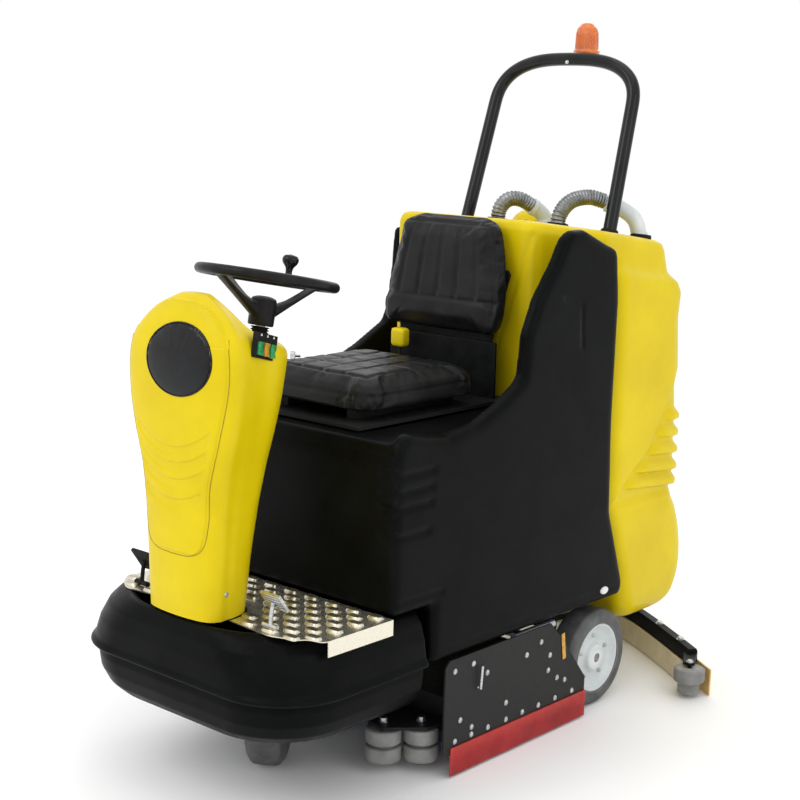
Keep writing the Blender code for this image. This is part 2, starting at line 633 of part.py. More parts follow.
def tank_neck(name, inset):
    """Front part of the recovery tank, which widens towards the back between the wings."""
    rings = []
    for level, shrink in ((0.600 + inset, 0.014), (0.620 + inset, 0.0), (None, 0.0), (0.0, 0.022)):
        half = []
        for x, y in NECK_OUTLINE:
            half.append((x - inset - shrink, y + inset + shrink if y < 0.4 else y))
        ring = []
        for x, y in [*half, *[(-x, y) for x, y in reversed(half)]]:
            top = tank_top(y) - inset - 0.0008
            z = top - 0.028 if level is None else (top if level == 0.0 else level)
            ring.append(Vector((x, y, z)))
        rings.append(ring)
    return loft(name, rings, YELLOW)


def bar_leg_direction():
    """Direction up the roll bar's left leg."""
    return (BAR_BEND - BAR_FOOT).normalized()


def mirrored(point, sign):
    """Point with its X turned to one side."""
    return Vector((sign * point.x, point.y, point.z))


def make_recovery_tank():
    """Hollow yellow tank, its domed lid, and the suction hoses on top."""
    tank = tank_body("recovery_tank", 0.0)
    join(tank, tank_neck("tank_neck", 0.0))
    hollow = tank_body("tank_hollow", TANK_WALL)
    join(hollow, tank_neck("neck_hollow", TANK_WALL))
    for side, sign in sides():
        foot = mirrored(BAR_FOOT, sign)
        boss = block(f"boss_{side}", foot - Vector((0.030, 0.035, 0.045)),
                     foot + Vector((0.030, 0.045, 0.10)), YELLOW)
        carve(hollow, boss)
    carve(tank, hollow)
    for side, sign in sides():
        foot = mirrored(BAR_FOOT, sign)
        axis = mirrored(bar_leg_direction(), sign)
        pocket = drum(f"leg_pocket_{side}", BAR_RADIUS + 0.0012, -0.001, 0.15, axis, foot, YELLOW, 16)
        carve(tank, pocket)
    top_axis = Vector((0, 0.14, 1)).normalized()
    lid_centre = Vector((*LID_CENTRE_XY, tank_top(LID_CENTRE_XY[1])))
    port = drum("lid_port", 0.058, -0.05, 0.05, top_axis, lid_centre, YELLOW, 24)
    carve(tank, port)
    profile = [(0, 0.050), (0.042, 0.040), (0.050, 0.020), (0.050, -0.010), (0.054, -0.010),
               (0.054, 0.001), (LID_RADIUS, 0.001), (LID_RADIUS, 0.010), (0.064, 0.030),
               (0.045, 0.046), (0.020, 0.054), (0, 0.056)]
    hinge_y = LID_CENTRE_XY[1] + LID_RADIUS + 0.006
    hinge_place = (LID_CENTRE_XY[0], hinge_y, tank_top(hinge_y) + 0.006)
    finish("recovery_lid", lathe_shape(profile, top_axis, lid_centre, 24), YELLOW, hinge_place)

    routes = {
        "suction_hose_left": [(0.142, 0.345, 1.262), (0.142, 0.352, 1.318), (0.150, 0.390, 1.355),
                              (0.172, 0.442, 1.366), (0.194, 0.481, 1.356)],
        "suction_hose_right": [(-0.052, 0.330, 1.262), (-0.050, 0.336, 1.322), (-0.040, 0.362, 1.350),
                               (-0.024, 0.396, 1.350), (-0.010, 0.424, 1.334)],
    }
    elbows = {
        "hose_elbow_left": [(0.1985, 0.4878, 1.3510), (0.226, 0.514, 1.338), (0.262, 0.536, 1.306),
                            (0.277, 0.545, 1.2450)],
        "hose_elbow_right": [(-0.0080, 0.4275, 1.3315), (0.004, 0.446, 1.318), (0.012, 0.458, 1.300),
                             (0.016, 0.462, 1.2665)],
    }
    for name, route in routes.items():
        tube(name, smooth_route(route), 0.0215, GREY_PLASTIC, 12)
        base = Vector(route[0])
        hole = tube(f"{name}_hole", [base - Vector((0, 0.004, 0.035)), base, Vector(route[1])],
                    0.0235, YELLOW, 12)
        carve(tank, hole)
    for name, route in elbows.items():
        tube(name, smooth_route(route), 0.0240, PALE_PLASTIC, 12)
        mouth = Vector(route[-1])
        ring = drum(f"{name}_seat", 0.0290, -0.030, 0.080, (0, 0, 1), mouth, YELLOW, 16)
        carve(tank, ring)


def make_roll_bar():
    """Bent tube with a beacon on a small bracket."""
    rise = BAR_TOP_Z - BAR_BEND.z
    lean = (BAR_BEND.y - BAR_FOOT.y) / (BAR_BEND.z - BAR_FOOT.z)
    points = [mirrored(BAR_FOOT, 1), BAR_BEND.copy()]
    steps = 18
    for step in range(1, steps):
        angle = math.pi * step / steps
        across = math.copysign(abs(math.cos(angle)) ** 0.72, math.cos(angle))
        up = math.sin(angle) ** 0.82
        z = BAR_BEND.z + rise * up
        points.append(Vector((BAR_BEND.x * across, BAR_BEND.y + lean * (z - BAR_BEND.z), z)))
    points += [mirrored(BAR_BEND, -1), mirrored(BAR_FOOT, -1)]
    bar = tube("roll_bar", points, BAR_RADIUS, BLACK_STEEL, 14)
    plate = block("beacon_plate", (-0.028, 0.565, 1.728), (0.028, BEACON_Y + 0.034, 1.733), BLACK_STEEL)
    join(bar, plate)
    base = [(0, 0), (0.040, 0), (0.040, 0.008), (0.036, 0.020), (0, 0.020)]
    lathe("beacon_base", base, (0, 0, 1), (0, BEACON_Y, 1.7333), BLACK, 24)
    lens = [(0, 0), (0.038, 0), (0.038, 0.008), (0.033, 0.012), (0.031, 0.058), (0.026, 0.073),
            (0.014, 0.085), (0, 0.0884)]
    lathe("beacon_lens", lens, (0, 0, 1), (0, BEACON_Y, 1.7536), AMBER, 24)


# Seat and controls
def make_seat():
    """Tilting seat plate with its cushion, backrest and release lever."""
    hinge = pivot("seat_hinge", (0, SEAT_HINGE_Y, 0.856))
    plate = block("seat_plate", (-0.205, SEAT_HINGE_Y, 0.852), (0.205, 0.090, 0.860), BLACK_STEEL)
    for side, sign in sides():
        inner, outer = sorted((sign * 0.10, sign * 0.13))
        runner = block(f"runner_{side}", (inner, -0.42, 0.858), (outer, -0.06, 0.884), BLACK_STEEL)
        strut = prism(f"strut_{side}", [(0.060, 0.855), (0.074, 0.855), (0.084, 1.05), (0.070, 1.05)],
                      "X", inner, outer, BLACK_STEEL)
        join(plate, runner, strut)
    rings = []
    for z, shrink in ((0.8845, 0.012), (0.895, 0.0), (0.935, 0.0), (0.956, 0.018), (0.962, 0.050)):
        outline = rounded_outline(SEAT_HALF - shrink, -0.470 + shrink, -0.032 - shrink, 0.06, 0.05, 3)
        rings.append([Vector((x, y, z)) for x, y in outline])
    cushion = loft("seat_cushion", rings, VINYL)

    def back_front(z):
        return 0.000 + 0.118 * (z - 0.98)

    rows = [(1.015, 0.175), (1.030, 0.200), (1.080, 0.209), (1.150, 0.203), (1.230, 0.188),
            (1.295, 0.170), (1.316, 0.150), (1.324, 0.120)]
    rings = []
    for z, half in rows:
        edge = 0.020 if z in (rows[0][0], rows[-1][0]) else 0.0
        y = back_front(z)
        outline = rounded_outline(half, y + edge, y + 0.056 - edge * 0.4, 0.018, 0.014, 2)
        rings.append([Vector((a, b, z)) for a, b in outline])
    back = loft("seat_back", rings, VINYL)
    shell = [(-0.138, 0.930), (0.138, 0.930), (0.150, 0.975), (0.195, 1.178), (0.187, 1.190),
             (-0.187, 1.190), (-0.195, 1.178), (-0.150, 0.975)]
    rings = []
    for offset in (0.052, 0.0585):
        rings.append([Vector((x, back_front(z) + offset, z)) for x, z in shell])
    join(back, loft("back_shell", rings, BLACK))
    carve(back, *[slab(f"strut_slot_{side}", Vector((sign * 0.115, 0.076, 0.965)), (0.034, 0.04, 0.19),
                       0.0, BLACK) for side, sign in sides()])

    lever_foot = Vector((-0.110, 0.004, 0.866))
    lever = drum("seat_release_lever", 0.004, 0.0, 0.115, (0, 0, 1), lever_foot, YELLOW, 8)
    grip = block("lever_grip", lever_foot + Vector((-0.018, -0.013, 0.102)),
                 lever_foot + Vector((0.018, 0.013, 0.148)), YELLOW)
    barrel = drum("lever_barrel", 0.0055, -0.012, 0.012, (0, 1, 0), lever_foot, YELLOW, 10)
    join(lever, grip, barrel)
    for item in (plate, cushion, back, lever):
        attach(item, hinge)


def make_pedals():
    """Brake pedal on the left and accelerator on the right of the column."""
    for name, sign, height in (("brake_pedal", 1, 0.050), ("accelerator_pedal", -1, 0.062)):
        foot = Vector((0.007 + sign * 0.222, -0.790, 0.4565))
        pedal = drum(name, 0.006, -0.022, 0.022, (1, 0, 0), foot, GREY_STEEL, 12)
        rings = []
        for y, z, half, thick in ((-0.790, 0.456, 0.010, 0.003), (-0.784, 0.515, 0.010, 0.003)):
            rings.append([Vector((foot.x + a * half, y + b * thick, z))
                          for a, b in ((-1, -1), (1, -1), (1, 1), (-1, 1))])
        arm = loft(f"{name}_arm", rings, GREY_STEEL)
        pad = slab(f"{name}_pad", Vector((foot.x, -0.778, 0.510)), (0.062, 0.010, height),
                   math.radians(35), BLACK)
        join(pedal, arm, pad)


# Brush deck
def make_brush_deck():
    """Deck with its side plates, skirts, two brushes and the guide rollers."""
    lift = pivot("deck_lift", (0, -0.07, 0.174))
    deck = block("deck_frame", (-DECK_SIDE_X + GAP, DECK_FRONT_Y, 0.170),
                 (DECK_SIDE_X - GAP, DECK_REAR_Y, 0.178), BLACK_STEEL)
    for name, y in (("deck_front_wall", DECK_FRONT_Y), ("deck_rear_wall", DECK_REAR_Y - 0.008)):
        wall = block(name, (-DECK_SIDE_X + GAP, y, 0.090), (DECK_SIDE_X - GAP, y + 0.008, 0.174), BLACK_STEEL)
        join(deck, wall)
    pieces = [deck]
    for side, sign in sides():
        arm_outline = [(0.195, -0.286), (0.350, -0.286), (0.335, -0.365), (0.262, -0.442), (0.205, -0.435)]
        arm = prism(f"roller_arm_{side}", [(sign * x, y) for x, y in arm_outline], "Z", 0.119, 0.126,
                    BLACK_STEEL)
        join(deck, arm)
        for place, (x, y) in ROLLER_CENTRES.items():
            centre = (sign * x, y, 0.0)
            join(deck, drum(f"spindle_{side}_{place}", 0.0060, 0.026, 0.133, (0, 0, 1), centre,
                            BLACK_STEEL, 12))
            profile = [(0.0064, 0.030), (0.042, 0.030), (ROLLER_RADIUS, 0.033), (ROLLER_RADIUS, 0.067),
                       (0.030, 0.069), (0.030, 0.075), (ROLLER_RADIUS, 0.077),
                       (ROLLER_RADIUS, 0.110), (0.042, 0.113), (0.0064, 0.113)]
            roller = lathe(f"guide_roller_{side}_{place}", profile, (0, 0, 1), centre, GREY_PLASTIC, 18)
            pieces.append(roller)
        inner, outer = sorted((sign * DECK_SIDE_X, sign * (DECK_SIDE_X + 0.005)))
        outline = [(-0.360, 0.075), (-0.350, 0.058), (0.223, 0.058), (0.223, 0.115), (0.110, 0.250),
                   (0.060, 0.300), (-0.345, 0.300), (-0.360, 0.285)]
        pieces.append(prism(f"deck_side_{side}", outline, "X", inner, outer, BLACK_STEEL))
        inner, outer = sorted((sign * (DECK_SIDE_X + 0.0053), sign * (DECK_SIDE_X + 0.0095)))
        pieces.append(block(f"skirt_{side}", (inner, -0.336, 0.006), (outer, 0.223, 0.078), RED_RUBBER))
    for name, y in BRUSH_YS.items():
        profile = [(0, -0.377), (0.012, -0.377), (0.012, -0.362), (BRUSH_RADIUS, -0.362),
                   (BRUSH_RADIUS, 0.362), (0.012, 0.362), (0.012, 0.377), (0, 0.377)]
        pieces.append(lathe(name, profile, (1, 0, 0), (0, y, BRUSH_RADIUS + 0.003), BRISTLE, 20))
    for piece in pieces:
        attach(piece, lift)


# Squeegee
def squeegee_point(x, offset):
    """Plan point on the squeegee's line, moved along its normal by an offset."""
    root = math.hypot(SQUEEGEE_ROUND, SQUEEGEE_SLOPE * x)
    slope = -SQUEEGEE_SLOPE ** 2 * x / root
    y = SQUEEGEE_REAR_Y - (root - SQUEEGEE_ROUND)
    normal = Vector((-slope, 1.0)).normalized()
    return Vector((x, y)) + normal * offset


def squeegee_strip(name, inner, outer, low, high, half, look, steps=20):
    """Strip that follows the squeegee's line."""
    near = []
    far = []
    for step in range(steps + 1):
        t = 2 * step / steps - 1
        x = half * math.copysign(abs(t) ** 1.25, t)
        near.append(tuple(squeegee_point(x, inner)))
        far.append(tuple(squeegee_point(x, outer)))
    return prism(name, [*near, *reversed(far)], "Z", low, high, look)


def make_squeegee():
    """Lift arm, swinging frame, two blades and the end rollers."""
    lift = pivot("squeegee_lift", SQUEEGEE_HINGE)
    swing = pivot("squeegee_swing", SQUEEGEE_SWING)
    attach(swing, lift)
    arm = block("squeegee_arm", (-0.030, SQUEEGEE_HINGE.y - 0.010, 0.130), (0.030, 0.530, 0.142),
                BLACK_STEEL)
    hinge_pin = drum("hinge_pin", 0.0060, -0.048, 0.048, (1, 0, 0), SQUEEGEE_HINGE, BLACK_STEEL, 12)
    swing_pin = drum("swing_pin", 0.0100, -0.012, 0.020, (0, 0, 1), SQUEEGEE_SWING, BLACK_STEEL, 16)
    join(arm, hinge_pin, swing_pin)
    attach(arm, lift)

    frame = squeegee_strip("squeegee_frame", -0.0155, 0.0155, 0.070, 0.112, 0.470, BLACK)
    strut = prism("swing_strut", [(-0.035, 0.475), (0.035, 0.475), (0.10, 0.86), (-0.10, 0.86)],
                  "Z", 0.108, 0.1265, BLACK)
    join(frame, strut)
    carve(frame, drum("swing_bore", 0.0103, -0.05, 0.05, (0, 0, 1), SQUEEGEE_SWING, BLACK, 16))
    pieces = [frame]
    for side, sign in sides():
        x, y = SQUEEGEE_ROLLER
        centre = (sign * x, y, 0.0)
        tongue = prism(f"tongue_{side}", [(sign * 0.490, 0.545), (sign * 0.518, 0.560),
                                          (sign * 0.470, 0.655), (sign * 0.430, 0.650)],
                       "Z", 0.092, 0.100, BLACK)
        spindle = drum(f"end_spindle_{side}", 0.0060, 0.014, 0.104, (0, 0, 1), centre, BLACK, 12)
        join(frame, tongue, spindle)
        profile = [(0.0064, 0.012), (0.031, 0.012), (0.031, 0.044), (0.040, 0.045), (0.0435, 0.048),
                   (0.0435, 0.080), (0.040, 0.083), (0.0064, 0.083)]
        pieces.append(lathe(f"squeegee_roller_{side}", profile, (0, 0, 1), centre, GREY_PLASTIC, 18))
    pieces.append(squeegee_strip("squeegee_blade_front", -0.0208, -0.0168, 0.002, 0.070, 0.452,
                                 CREAM_RUBBER))
    pieces.append(squeegee_strip("squeegee_blade_rear", 0.0168, 0.0218, 0.001, 0.078, SQUEEGEE_HALF,
                                 TAN_RUBBER))
    for piece in pieces:
        attach(piece, swing)


clear_scene()
make_chassis()
make_front_base()
make_column()
make_steering_wheel()
make_wheels()
make_solution_tank()
make_recovery_tank()
make_roll_bar()
make_seat()
make_pedals()
make_brush_deck()
make_squeegee()
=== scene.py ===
"""Looks of a ride-on floor scrubber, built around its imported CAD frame."""
from math import copysign, cos, hypot, pi, radians, sin, tau

import bmesh
import bpy
import numpy as np
from mathutils import Matrix, Vector


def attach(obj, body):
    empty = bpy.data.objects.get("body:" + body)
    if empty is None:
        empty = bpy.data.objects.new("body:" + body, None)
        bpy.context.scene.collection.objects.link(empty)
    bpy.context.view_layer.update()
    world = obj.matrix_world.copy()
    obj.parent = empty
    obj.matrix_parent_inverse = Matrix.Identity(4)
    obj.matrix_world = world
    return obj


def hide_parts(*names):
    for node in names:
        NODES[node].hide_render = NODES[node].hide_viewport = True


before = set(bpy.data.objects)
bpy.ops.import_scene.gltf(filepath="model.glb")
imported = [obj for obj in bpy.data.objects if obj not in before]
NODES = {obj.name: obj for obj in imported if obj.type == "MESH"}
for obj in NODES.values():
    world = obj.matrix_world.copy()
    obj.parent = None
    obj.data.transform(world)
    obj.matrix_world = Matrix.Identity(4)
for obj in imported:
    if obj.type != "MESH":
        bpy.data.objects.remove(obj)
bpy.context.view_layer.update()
SCENE = bpy.context.scene

COLUMN_X = 0.008
STEERING_CENTRE = Vector((0.0, -0.591, 1.197))
STEERING_AXIS = Vector((0.0, sin(radians(11)), cos(radians(11))))
RIM_RADIUS = 0.158
CLOTH_STEPS = 20
WHEEL_Z = 0.1335
BADGE_X, BADGE_WIDE, BADGE_TALL = 0.03, 0.106, 0.082
REAR_Y = 0.3225
FORK_XY = (0.0, -0.565)
FORK_TURN = radians(35)
TANK_HALF, TANK_SLOPE = 0.362, 0.14
UP = Vector((0, 0, 1))
SIDES = (("left", 1), ("right", -1))
SWITCH_PITCH, MARK_REACH = 0.03, 0.0042
SEAT_BACK_LEAN, SEAT_BACK_FOOT = 0.118, 0.98
FOAM_PRESSURE, FOAM_FILL = 4.5, 0.7
CAMERA_PLACE = Vector((2.6466, -3.1192, 1.5996))
CAMERA_ANGLES = (41.38, 10.6, 1.505)
CAMERA_FOCAL_LENGTH = 71.0325


# Materials
def node(tree, kind, **settings):
    """Add a shader node and set its properties."""
    item = tree.nodes.new(kind)
    for key, value in settings.items():
        setattr(item, key, value)
    return item


def finish_look(name, dark, light, rough=(0.35, 0.5), scale=9.0, grain=260.0, bump=0.15, depth=0.0004,
        metallic=0.0, stretch=(1, 1, 1), coat=0.0, cells=False, speck=None, wear=None, transmission=0.0,
        emission=None, specular=0.5):
    """Procedural finish: mottled colour, uneven gloss and a fine grain."""
    material = bpy.data.materials.new(name)
    material.use_nodes = True
    tree = material.node_tree
    shader = tree.nodes["Principled BSDF"]
    place = node(tree, "ShaderNodeTexCoord")
    mapping = node(tree, "ShaderNodeMapping")
    mapping.inputs["Scale"].default_value = stretch
    tree.links.new(place.outputs["Object"], mapping.inputs["Vector"])

    def noise(size, detail, roughness=0.55):
        item = node(tree, "ShaderNodeTexNoise")
        item.inputs["Scale"].default_value = size
        item.inputs["Detail"].default_value = detail
        item.inputs["Roughness"].default_value = roughness
        tree.links.new(mapping.outputs["Vector"], item.inputs["Vector"])
        return item

    def ramp(source, low, high, left=0.32, right=0.68):
        item = node(tree, "ShaderNodeValToRGB")
        item.color_ramp.elements[0].position = left
        item.color_ramp.elements[1].position = right
        item.color_ramp.elements[0].color = (*low, 1)
        item.color_ramp.elements[1].color = (*high, 1)
        tree.links.new(source, item.inputs["Fac"])
        return item.outputs["Color"]

    def mix(factor, below, above):
        item = node(tree, "ShaderNodeMix", data_type="RGBA")
        tree.links.new(factor, item.inputs["Factor"])
        tree.links.new(below, item.inputs[6])
        item.inputs[7].default_value = (*above, 1)
        return item.outputs[2]

    broad = noise(scale, 5)
    colour = ramp(broad.outputs["Fac"], dark, light)
    if speck is not None:
        dots = noise(420.0, 2)
        colour = mix(ramp(dots.outputs["Fac"], (0, 0, 0), (1, 1, 1), 0.63, 0.7), colour, speck)
    if wear is not None:
        geometry = node(tree, "ShaderNodeNewGeometry")
        scuff = noise(34.0, 6, 0.7)
        total = node(tree, "ShaderNodeMath", operation="MULTIPLY_ADD")
        tree.links.new(scuff.outputs["Fac"], total.inputs[0])
        total.inputs[1].default_value = 0.1
        tree.links.new(geometry.outputs["Pointiness"], total.inputs[2])
        colour = mix(ramp(total.outputs["Value"], (0, 0, 0), (1, 1, 1), 0.585, 0.66), colour, wear)
    tree.links.new(colour, shader.inputs["Base Color"])

    smear = noise(scale * 3.1, 6, 0.62)
    gloss = node(tree, "ShaderNodeMapRange")
    gloss.inputs["From Min"].default_value = 0.3
    gloss.inputs["From Max"].default_value = 0.7
    gloss.inputs["To Min"].default_value = rough[0]
    gloss.inputs["To Max"].default_value = rough[1]
    tree.links.new(smear.outputs["Fac"], gloss.inputs["Value"])
    tree.links.new(gloss.outputs["Result"], shader.inputs["Roughness"])

    if cells:
        texture = node(tree, "ShaderNodeTexVoronoi", feature="SMOOTH_F1")
        texture.inputs["Scale"].default_value = grain
        tree.links.new(mapping.outputs["Vector"], texture.inputs["Vector"])
        height = texture.outputs["Distance"]
    else:
        height = noise(grain, 3).outputs["Fac"]
    relief = node(tree, "ShaderNodeBump")
    relief.inputs["Strength"].default_value = bump
    relief.inputs["Distance"].default_value = depth
    tree.links.new(height, relief.inputs["Height"])
    tree.links.new(relief.outputs["Normal"], shader.inputs["Normal"])
    shader.inputs["Metallic"].default_value = metallic
    shader.inputs["Specular IOR Level"].default_value = specular
    shader.inputs["Coat Weight"].default_value = coat
    shader.inputs["Coat Roughness"].default_value = 0.12
    shader.inputs["Transmission Weight"].default_value = transmission
    # Optional faint glow in the given colour: painted light.
    if emission is not None:
        shader.inputs["Emission Color"].default_value = (*emission, 1)
        shader.inputs["Emission Strength"].default_value = 0.02
    return material


YELLOW = finish_look("yellow_moulded", (0.62, 0.465, 0.0018), (0.7, 0.54, 0.0026), (0.3, 0.42), 6, 300, 0.1,
    0.0003, wear=(0.76, 0.62, 0.015), specular=0.16)
# Darker yellow for the line round the column's cover: painted shade in the gap between cover and shell.
SEAM_SHADE = finish_look("seam_shadow", (0.22, 0.15, 0.002), (0.34, 0.25, 0.003), (0.6, 0.8), 20, 300, 0.1, 0.0002)
BLACK = finish_look("black_moulded", (0.0012, 0.0015, 0.0014), (0.003, 0.0036, 0.0034), (0.3, 0.44), 8, 420,
    0.22, 0.0004, wear=(0.016, 0.017, 0.017), speck=(0.009, 0.01, 0.01), specular=0.055)
BLACK_GLOSS = finish_look("black_gloss_paint", (0.003, 0.003, 0.004), (0.008, 0.009, 0.01), (0.1, 0.22), 14,
    180, 0.05, 0.0003, coat=0.12, specular=0.2)
BLACK_STEEL = finish_look("black_powder_coat", (0.006, 0.006, 0.007), (0.016, 0.017, 0.018), (0.32, 0.48),
    20, 520, 0.3, 0.0003, wear=(0.02, 0.02, 0.02), specular=0.12)
BLACK_SOFT = finish_look("black_soft_grip", (0.006, 0.006, 0.007), (0.013, 0.013, 0.014), (0.28, 0.42), 30,
    500, 0.2, 0.0003, specular=0.16)
STEEL = finish_look("brushed_steel", (0.42, 0.43, 0.44), (0.66, 0.67, 0.68), (0.22, 0.38), 30, 300, 0.25,
    0.0002, metallic=1.0, stretch=(1, 1, 6))
PLATE = finish_look("tread_metal", (0.4, 0.36, 0.27), (0.62, 0.57, 0.44), (0.2, 0.36), 10, 380, 0.25, 0.0003,
    metallic=0.9, stretch=(1, 5, 1), wear=(0.8, 0.76, 0.64))
PALE = finish_look("pale_plastic", (0.5, 0.54, 0.54), (0.64, 0.68, 0.68), (0.28, 0.42), 12, 300, 0.12,
    0.0003, wear=(0.78, 0.8, 0.8))
HOSE = finish_look("silver_hose", (0.14, 0.145, 0.15), (0.3, 0.31, 0.32), (0.22, 0.34), 40, 300, 0.12,
    0.0002, metallic=0.85)
ROLLER = finish_look("grey_roller", (0.15, 0.15, 0.145), (0.27, 0.27, 0.26), (0.45, 0.65), 16, 260, 0.3,
    0.0005, wear=(0.5, 0.5, 0.48), speck=(0.12, 0.12, 0.12))
TYRE = finish_look("grey_tyre_rubber", (0.06, 0.06, 0.062), (0.125, 0.125, 0.128), (0.62, 0.82), 18, 340,
    0.45, 0.0006, wear=(0.22, 0.21, 0.2), speck=(0.05, 0.05, 0.05))
RED = finish_look("red_rubber", (0.24, 0.005, 0.007), (0.38, 0.012, 0.014), (0.38, 0.55), 12, 300, 0.2,
    0.0004, wear=(0.46, 0.04, 0.03), specular=0.3)
TAN = finish_look("tan_rubber", (0.68, 0.44, 0.12), (0.84, 0.62, 0.24), (0.32, 0.48), 14, 260, 0.15, 0.0003,
    wear=(0.55, 0.26, 0.08))
CREAM = finish_look("cream_rubber", (0.66, 0.56, 0.36), (0.8, 0.7, 0.5), (0.36, 0.52), 14, 260, 0.15, 0.0003)
VINYL = finish_look("black_vinyl", (0.006, 0.0062, 0.0065), (0.014, 0.0142, 0.015), (0.3, 0.44), 11, 950,
    0.3, 0.0005, cells=True, specular=0.16)
RUBBER = finish_look("black_rubber", (0.006, 0.006, 0.006), (0.014, 0.014, 0.014), (0.5, 0.7), 22, 420, 0.3,
    0.0004, speck=(0.01, 0.01, 0.01), specular=0.12)
# Amber lens with a faint glow of its own: painted light that brightens it.
AMBER = finish_look("amber_lens_plastic", (0.6, 0.1, 0.002), (0.84, 0.22, 0.006), (0.05, 0.12), 16, 120,
    0.08, 0.0004, coat=0.5, transmission=0.25, emission=(0.9, 0.25, 0.01))
GREEN = finish_look("green_rocker", (0.01, 0.2, 0.06), (0.035, 0.36, 0.12), (0.22, 0.34), 60, 300, 0.1,
    0.0002)
ORANGE = finish_look("amber_rocker", (0.42, 0.2, 0.01), (0.66, 0.36, 0.03), (0.22, 0.34), 60, 300, 0.1,
    0.0002)
WHITE = finish_look("white_plastic", (0.66, 0.66, 0.64), (0.8, 0.8, 0.78), (0.3, 0.45), 30, 300, 0.1, 0.0002)
BRISTLE = finish_look("brush_bristle", (0.012, 0.03, 0.09), (0.05, 0.09, 0.2), (0.55, 0.75), 180, 700, 0.9,
    0.002)
BATTERY = finish_look("battery_case", (0.1, 0.1, 0.11), (0.17, 0.17, 0.18), (0.4, 0.6), 12, 320, 0.2, 0.0004)
BLUE_STEEL = finish_look("zinc_plate", (0.28, 0.32, 0.36), (0.46, 0.5, 0.54), (0.25, 0.42), 25, 260, 0.2,
    0.0003, metallic=0.9)


# Mesh tools
def mesh_of(name, shape):
    """Mesh made from a bmesh, which is freed."""
    mesh = bpy.data.meshes.new(name)
    shape.to_mesh(mesh)
    shape.free()
    return mesh


def linked(name, data):
    """New object in the scene."""
    item = bpy.data.objects.new(name, data)
    bpy.context.collection.objects.link(item)
    return item


def add(name, shape, body, look, replaced=None, sharp=35, bevel=0.0):
    """Turn a bmesh into a piece that rides on a body."""
    bmesh.ops.recalc_face_normals(shape, faces=shape.faces)
    return dress(linked(name, mesh_of(name, shape)), body, look, replaced, sharp, bevel)


def round_edges(item, width, angle):
    """Small bevel on the edges that are sharper than an angle."""
    edges = item.modifiers.new("edges", "BEVEL")
    edges.width = width
    edges.segments = 2
    edges.limit_method = "ANGLE"
    edges.angle_limit = radians(angle)


def dress(item, body, look, replaced=None, sharp=35, bevel=0.0, subdivide=0):
    """Give an object its finish, its edges and its body."""
    mesh = item.data
    mesh.materials.clear()
    mesh.materials.append(look)
    mesh.shade_smooth()
    mesh.set_sharp_from_angle(angle=radians(sharp))
    if bevel:
        round_edges(item, bevel, 30)
    if subdivide:
        rounder = item.modifiers.new("rounder", "SUBSURF")
        rounder.levels = subdivide
        rounder.render_levels = subdivide
    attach(item, body)
    if replaced:
        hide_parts(replaced)
    return item


def rounded_box_ring(count, wide, deep, power):
    """Plan points of an oval with flattened sides."""
    ring = []
    for angle in np.linspace(0, tau, count, endpoint=False):
        ring.append((wide * copysign(abs(cos(angle)) ** power, cos(angle)),
            deep * copysign(abs(sin(angle)) ** power, sin(angle))))
    return ring


def aimed(axis, centre):
    """Matrix that carries local Z onto an axis and the local origin onto a centre."""
    turn = UP.rotation_difference(Vector(axis))
    return Matrix.Translation(Vector(centre)) @ turn.to_matrix().to_4x4()


def rounded_profile(profile, radius, steps=3):
    """Round the corners of an open (radius, height) profile."""
    points = [Vector(point) for point in profile]
    out = [points[0]]
    for before, here, after in zip(points, points[1:], points[2:]):
        first, second = before - here, after - here
        if first.length < 1e-6 or second.length < 1e-6:
            continue
        reach = min(radius, first.length * 0.45, second.length * 0.45)
        start, end = here + first.normalized() * reach, here + second.normalized() * reach
        for step in range(steps + 1):
            t = step / steps
            out.append(start * (1 - t) ** 2 + here * 2 * t * (1 - t) + end * t ** 2)
    out.append(points[-1])
    return [tuple(point) for point in out]


def lathe(profile, axis, centre, segments=64, closed=False, ripple=None):
    """Turn (radius, height) points about an axis."""
    shape = bmesh.new()
    rings = []
    for radius, height in profile:
        count = segments if radius > 1e-7 else 1
        ring = []
        for step in range(count):
            angle = tau * step / segments
            reach = radius + (ripple(angle, radius, height) if ripple and radius > 1e-7 else 0.0)
            ring.append(shape.verts.new((reach * cos(angle), reach * sin(angle), height)))
        rings.append(ring)
    pairs = list(zip(rings, rings[1:]))
    if closed:
        pairs.append((rings[-1], rings[0]))
    for first, second in pairs:
        for step in range(segments):
            after = (step + 1) % segments
            corners = list(dict.fromkeys([first[step % len(first)], first[after % len(first)],
                second[after % len(second)], second[step % len(second)]]))
            if len(corners) > 2:
                shape.faces.new(corners)
    bmesh.ops.transform(shape, matrix=aimed(axis, centre), verts=shape.verts)
    return shape


def loft(rings, caps=True):
    """Skin closed rings of equal point counts."""
    shape = bmesh.new()
    rows = [[shape.verts.new(point) for point in ring] for ring in rings]
    count = len(rows[0])
    for lower, upper in zip(rows, rows[1:]):
        for step in range(count):
            after = (step + 1) % count
            shape.faces.new((lower[step], lower[after], upper[after], upper[step]))
    if caps:
        shape.faces.new(rows[0])
        shape.faces.new(rows[-1])
    return shape


def grid(points):
    """Skin an open grid of points."""
    shape = bmesh.new()
    rows = [[shape.verts.new(point) for point in row] for row in points]
    for lower, upper in zip(rows, rows[1:]):
        for a, b, c, d in zip(lower, lower[1:], upper[1:], upper):
            shape.faces.new((a, b, c, d))
    return shape


def merged(*shapes):
    """One bmesh that holds several."""
    whole = bmesh.new()
    for shape in shapes:
        mesh = mesh_of("part", shape)
        whole.from_mesh(mesh)
        bpy.data.meshes.remove(mesh)
    return whole


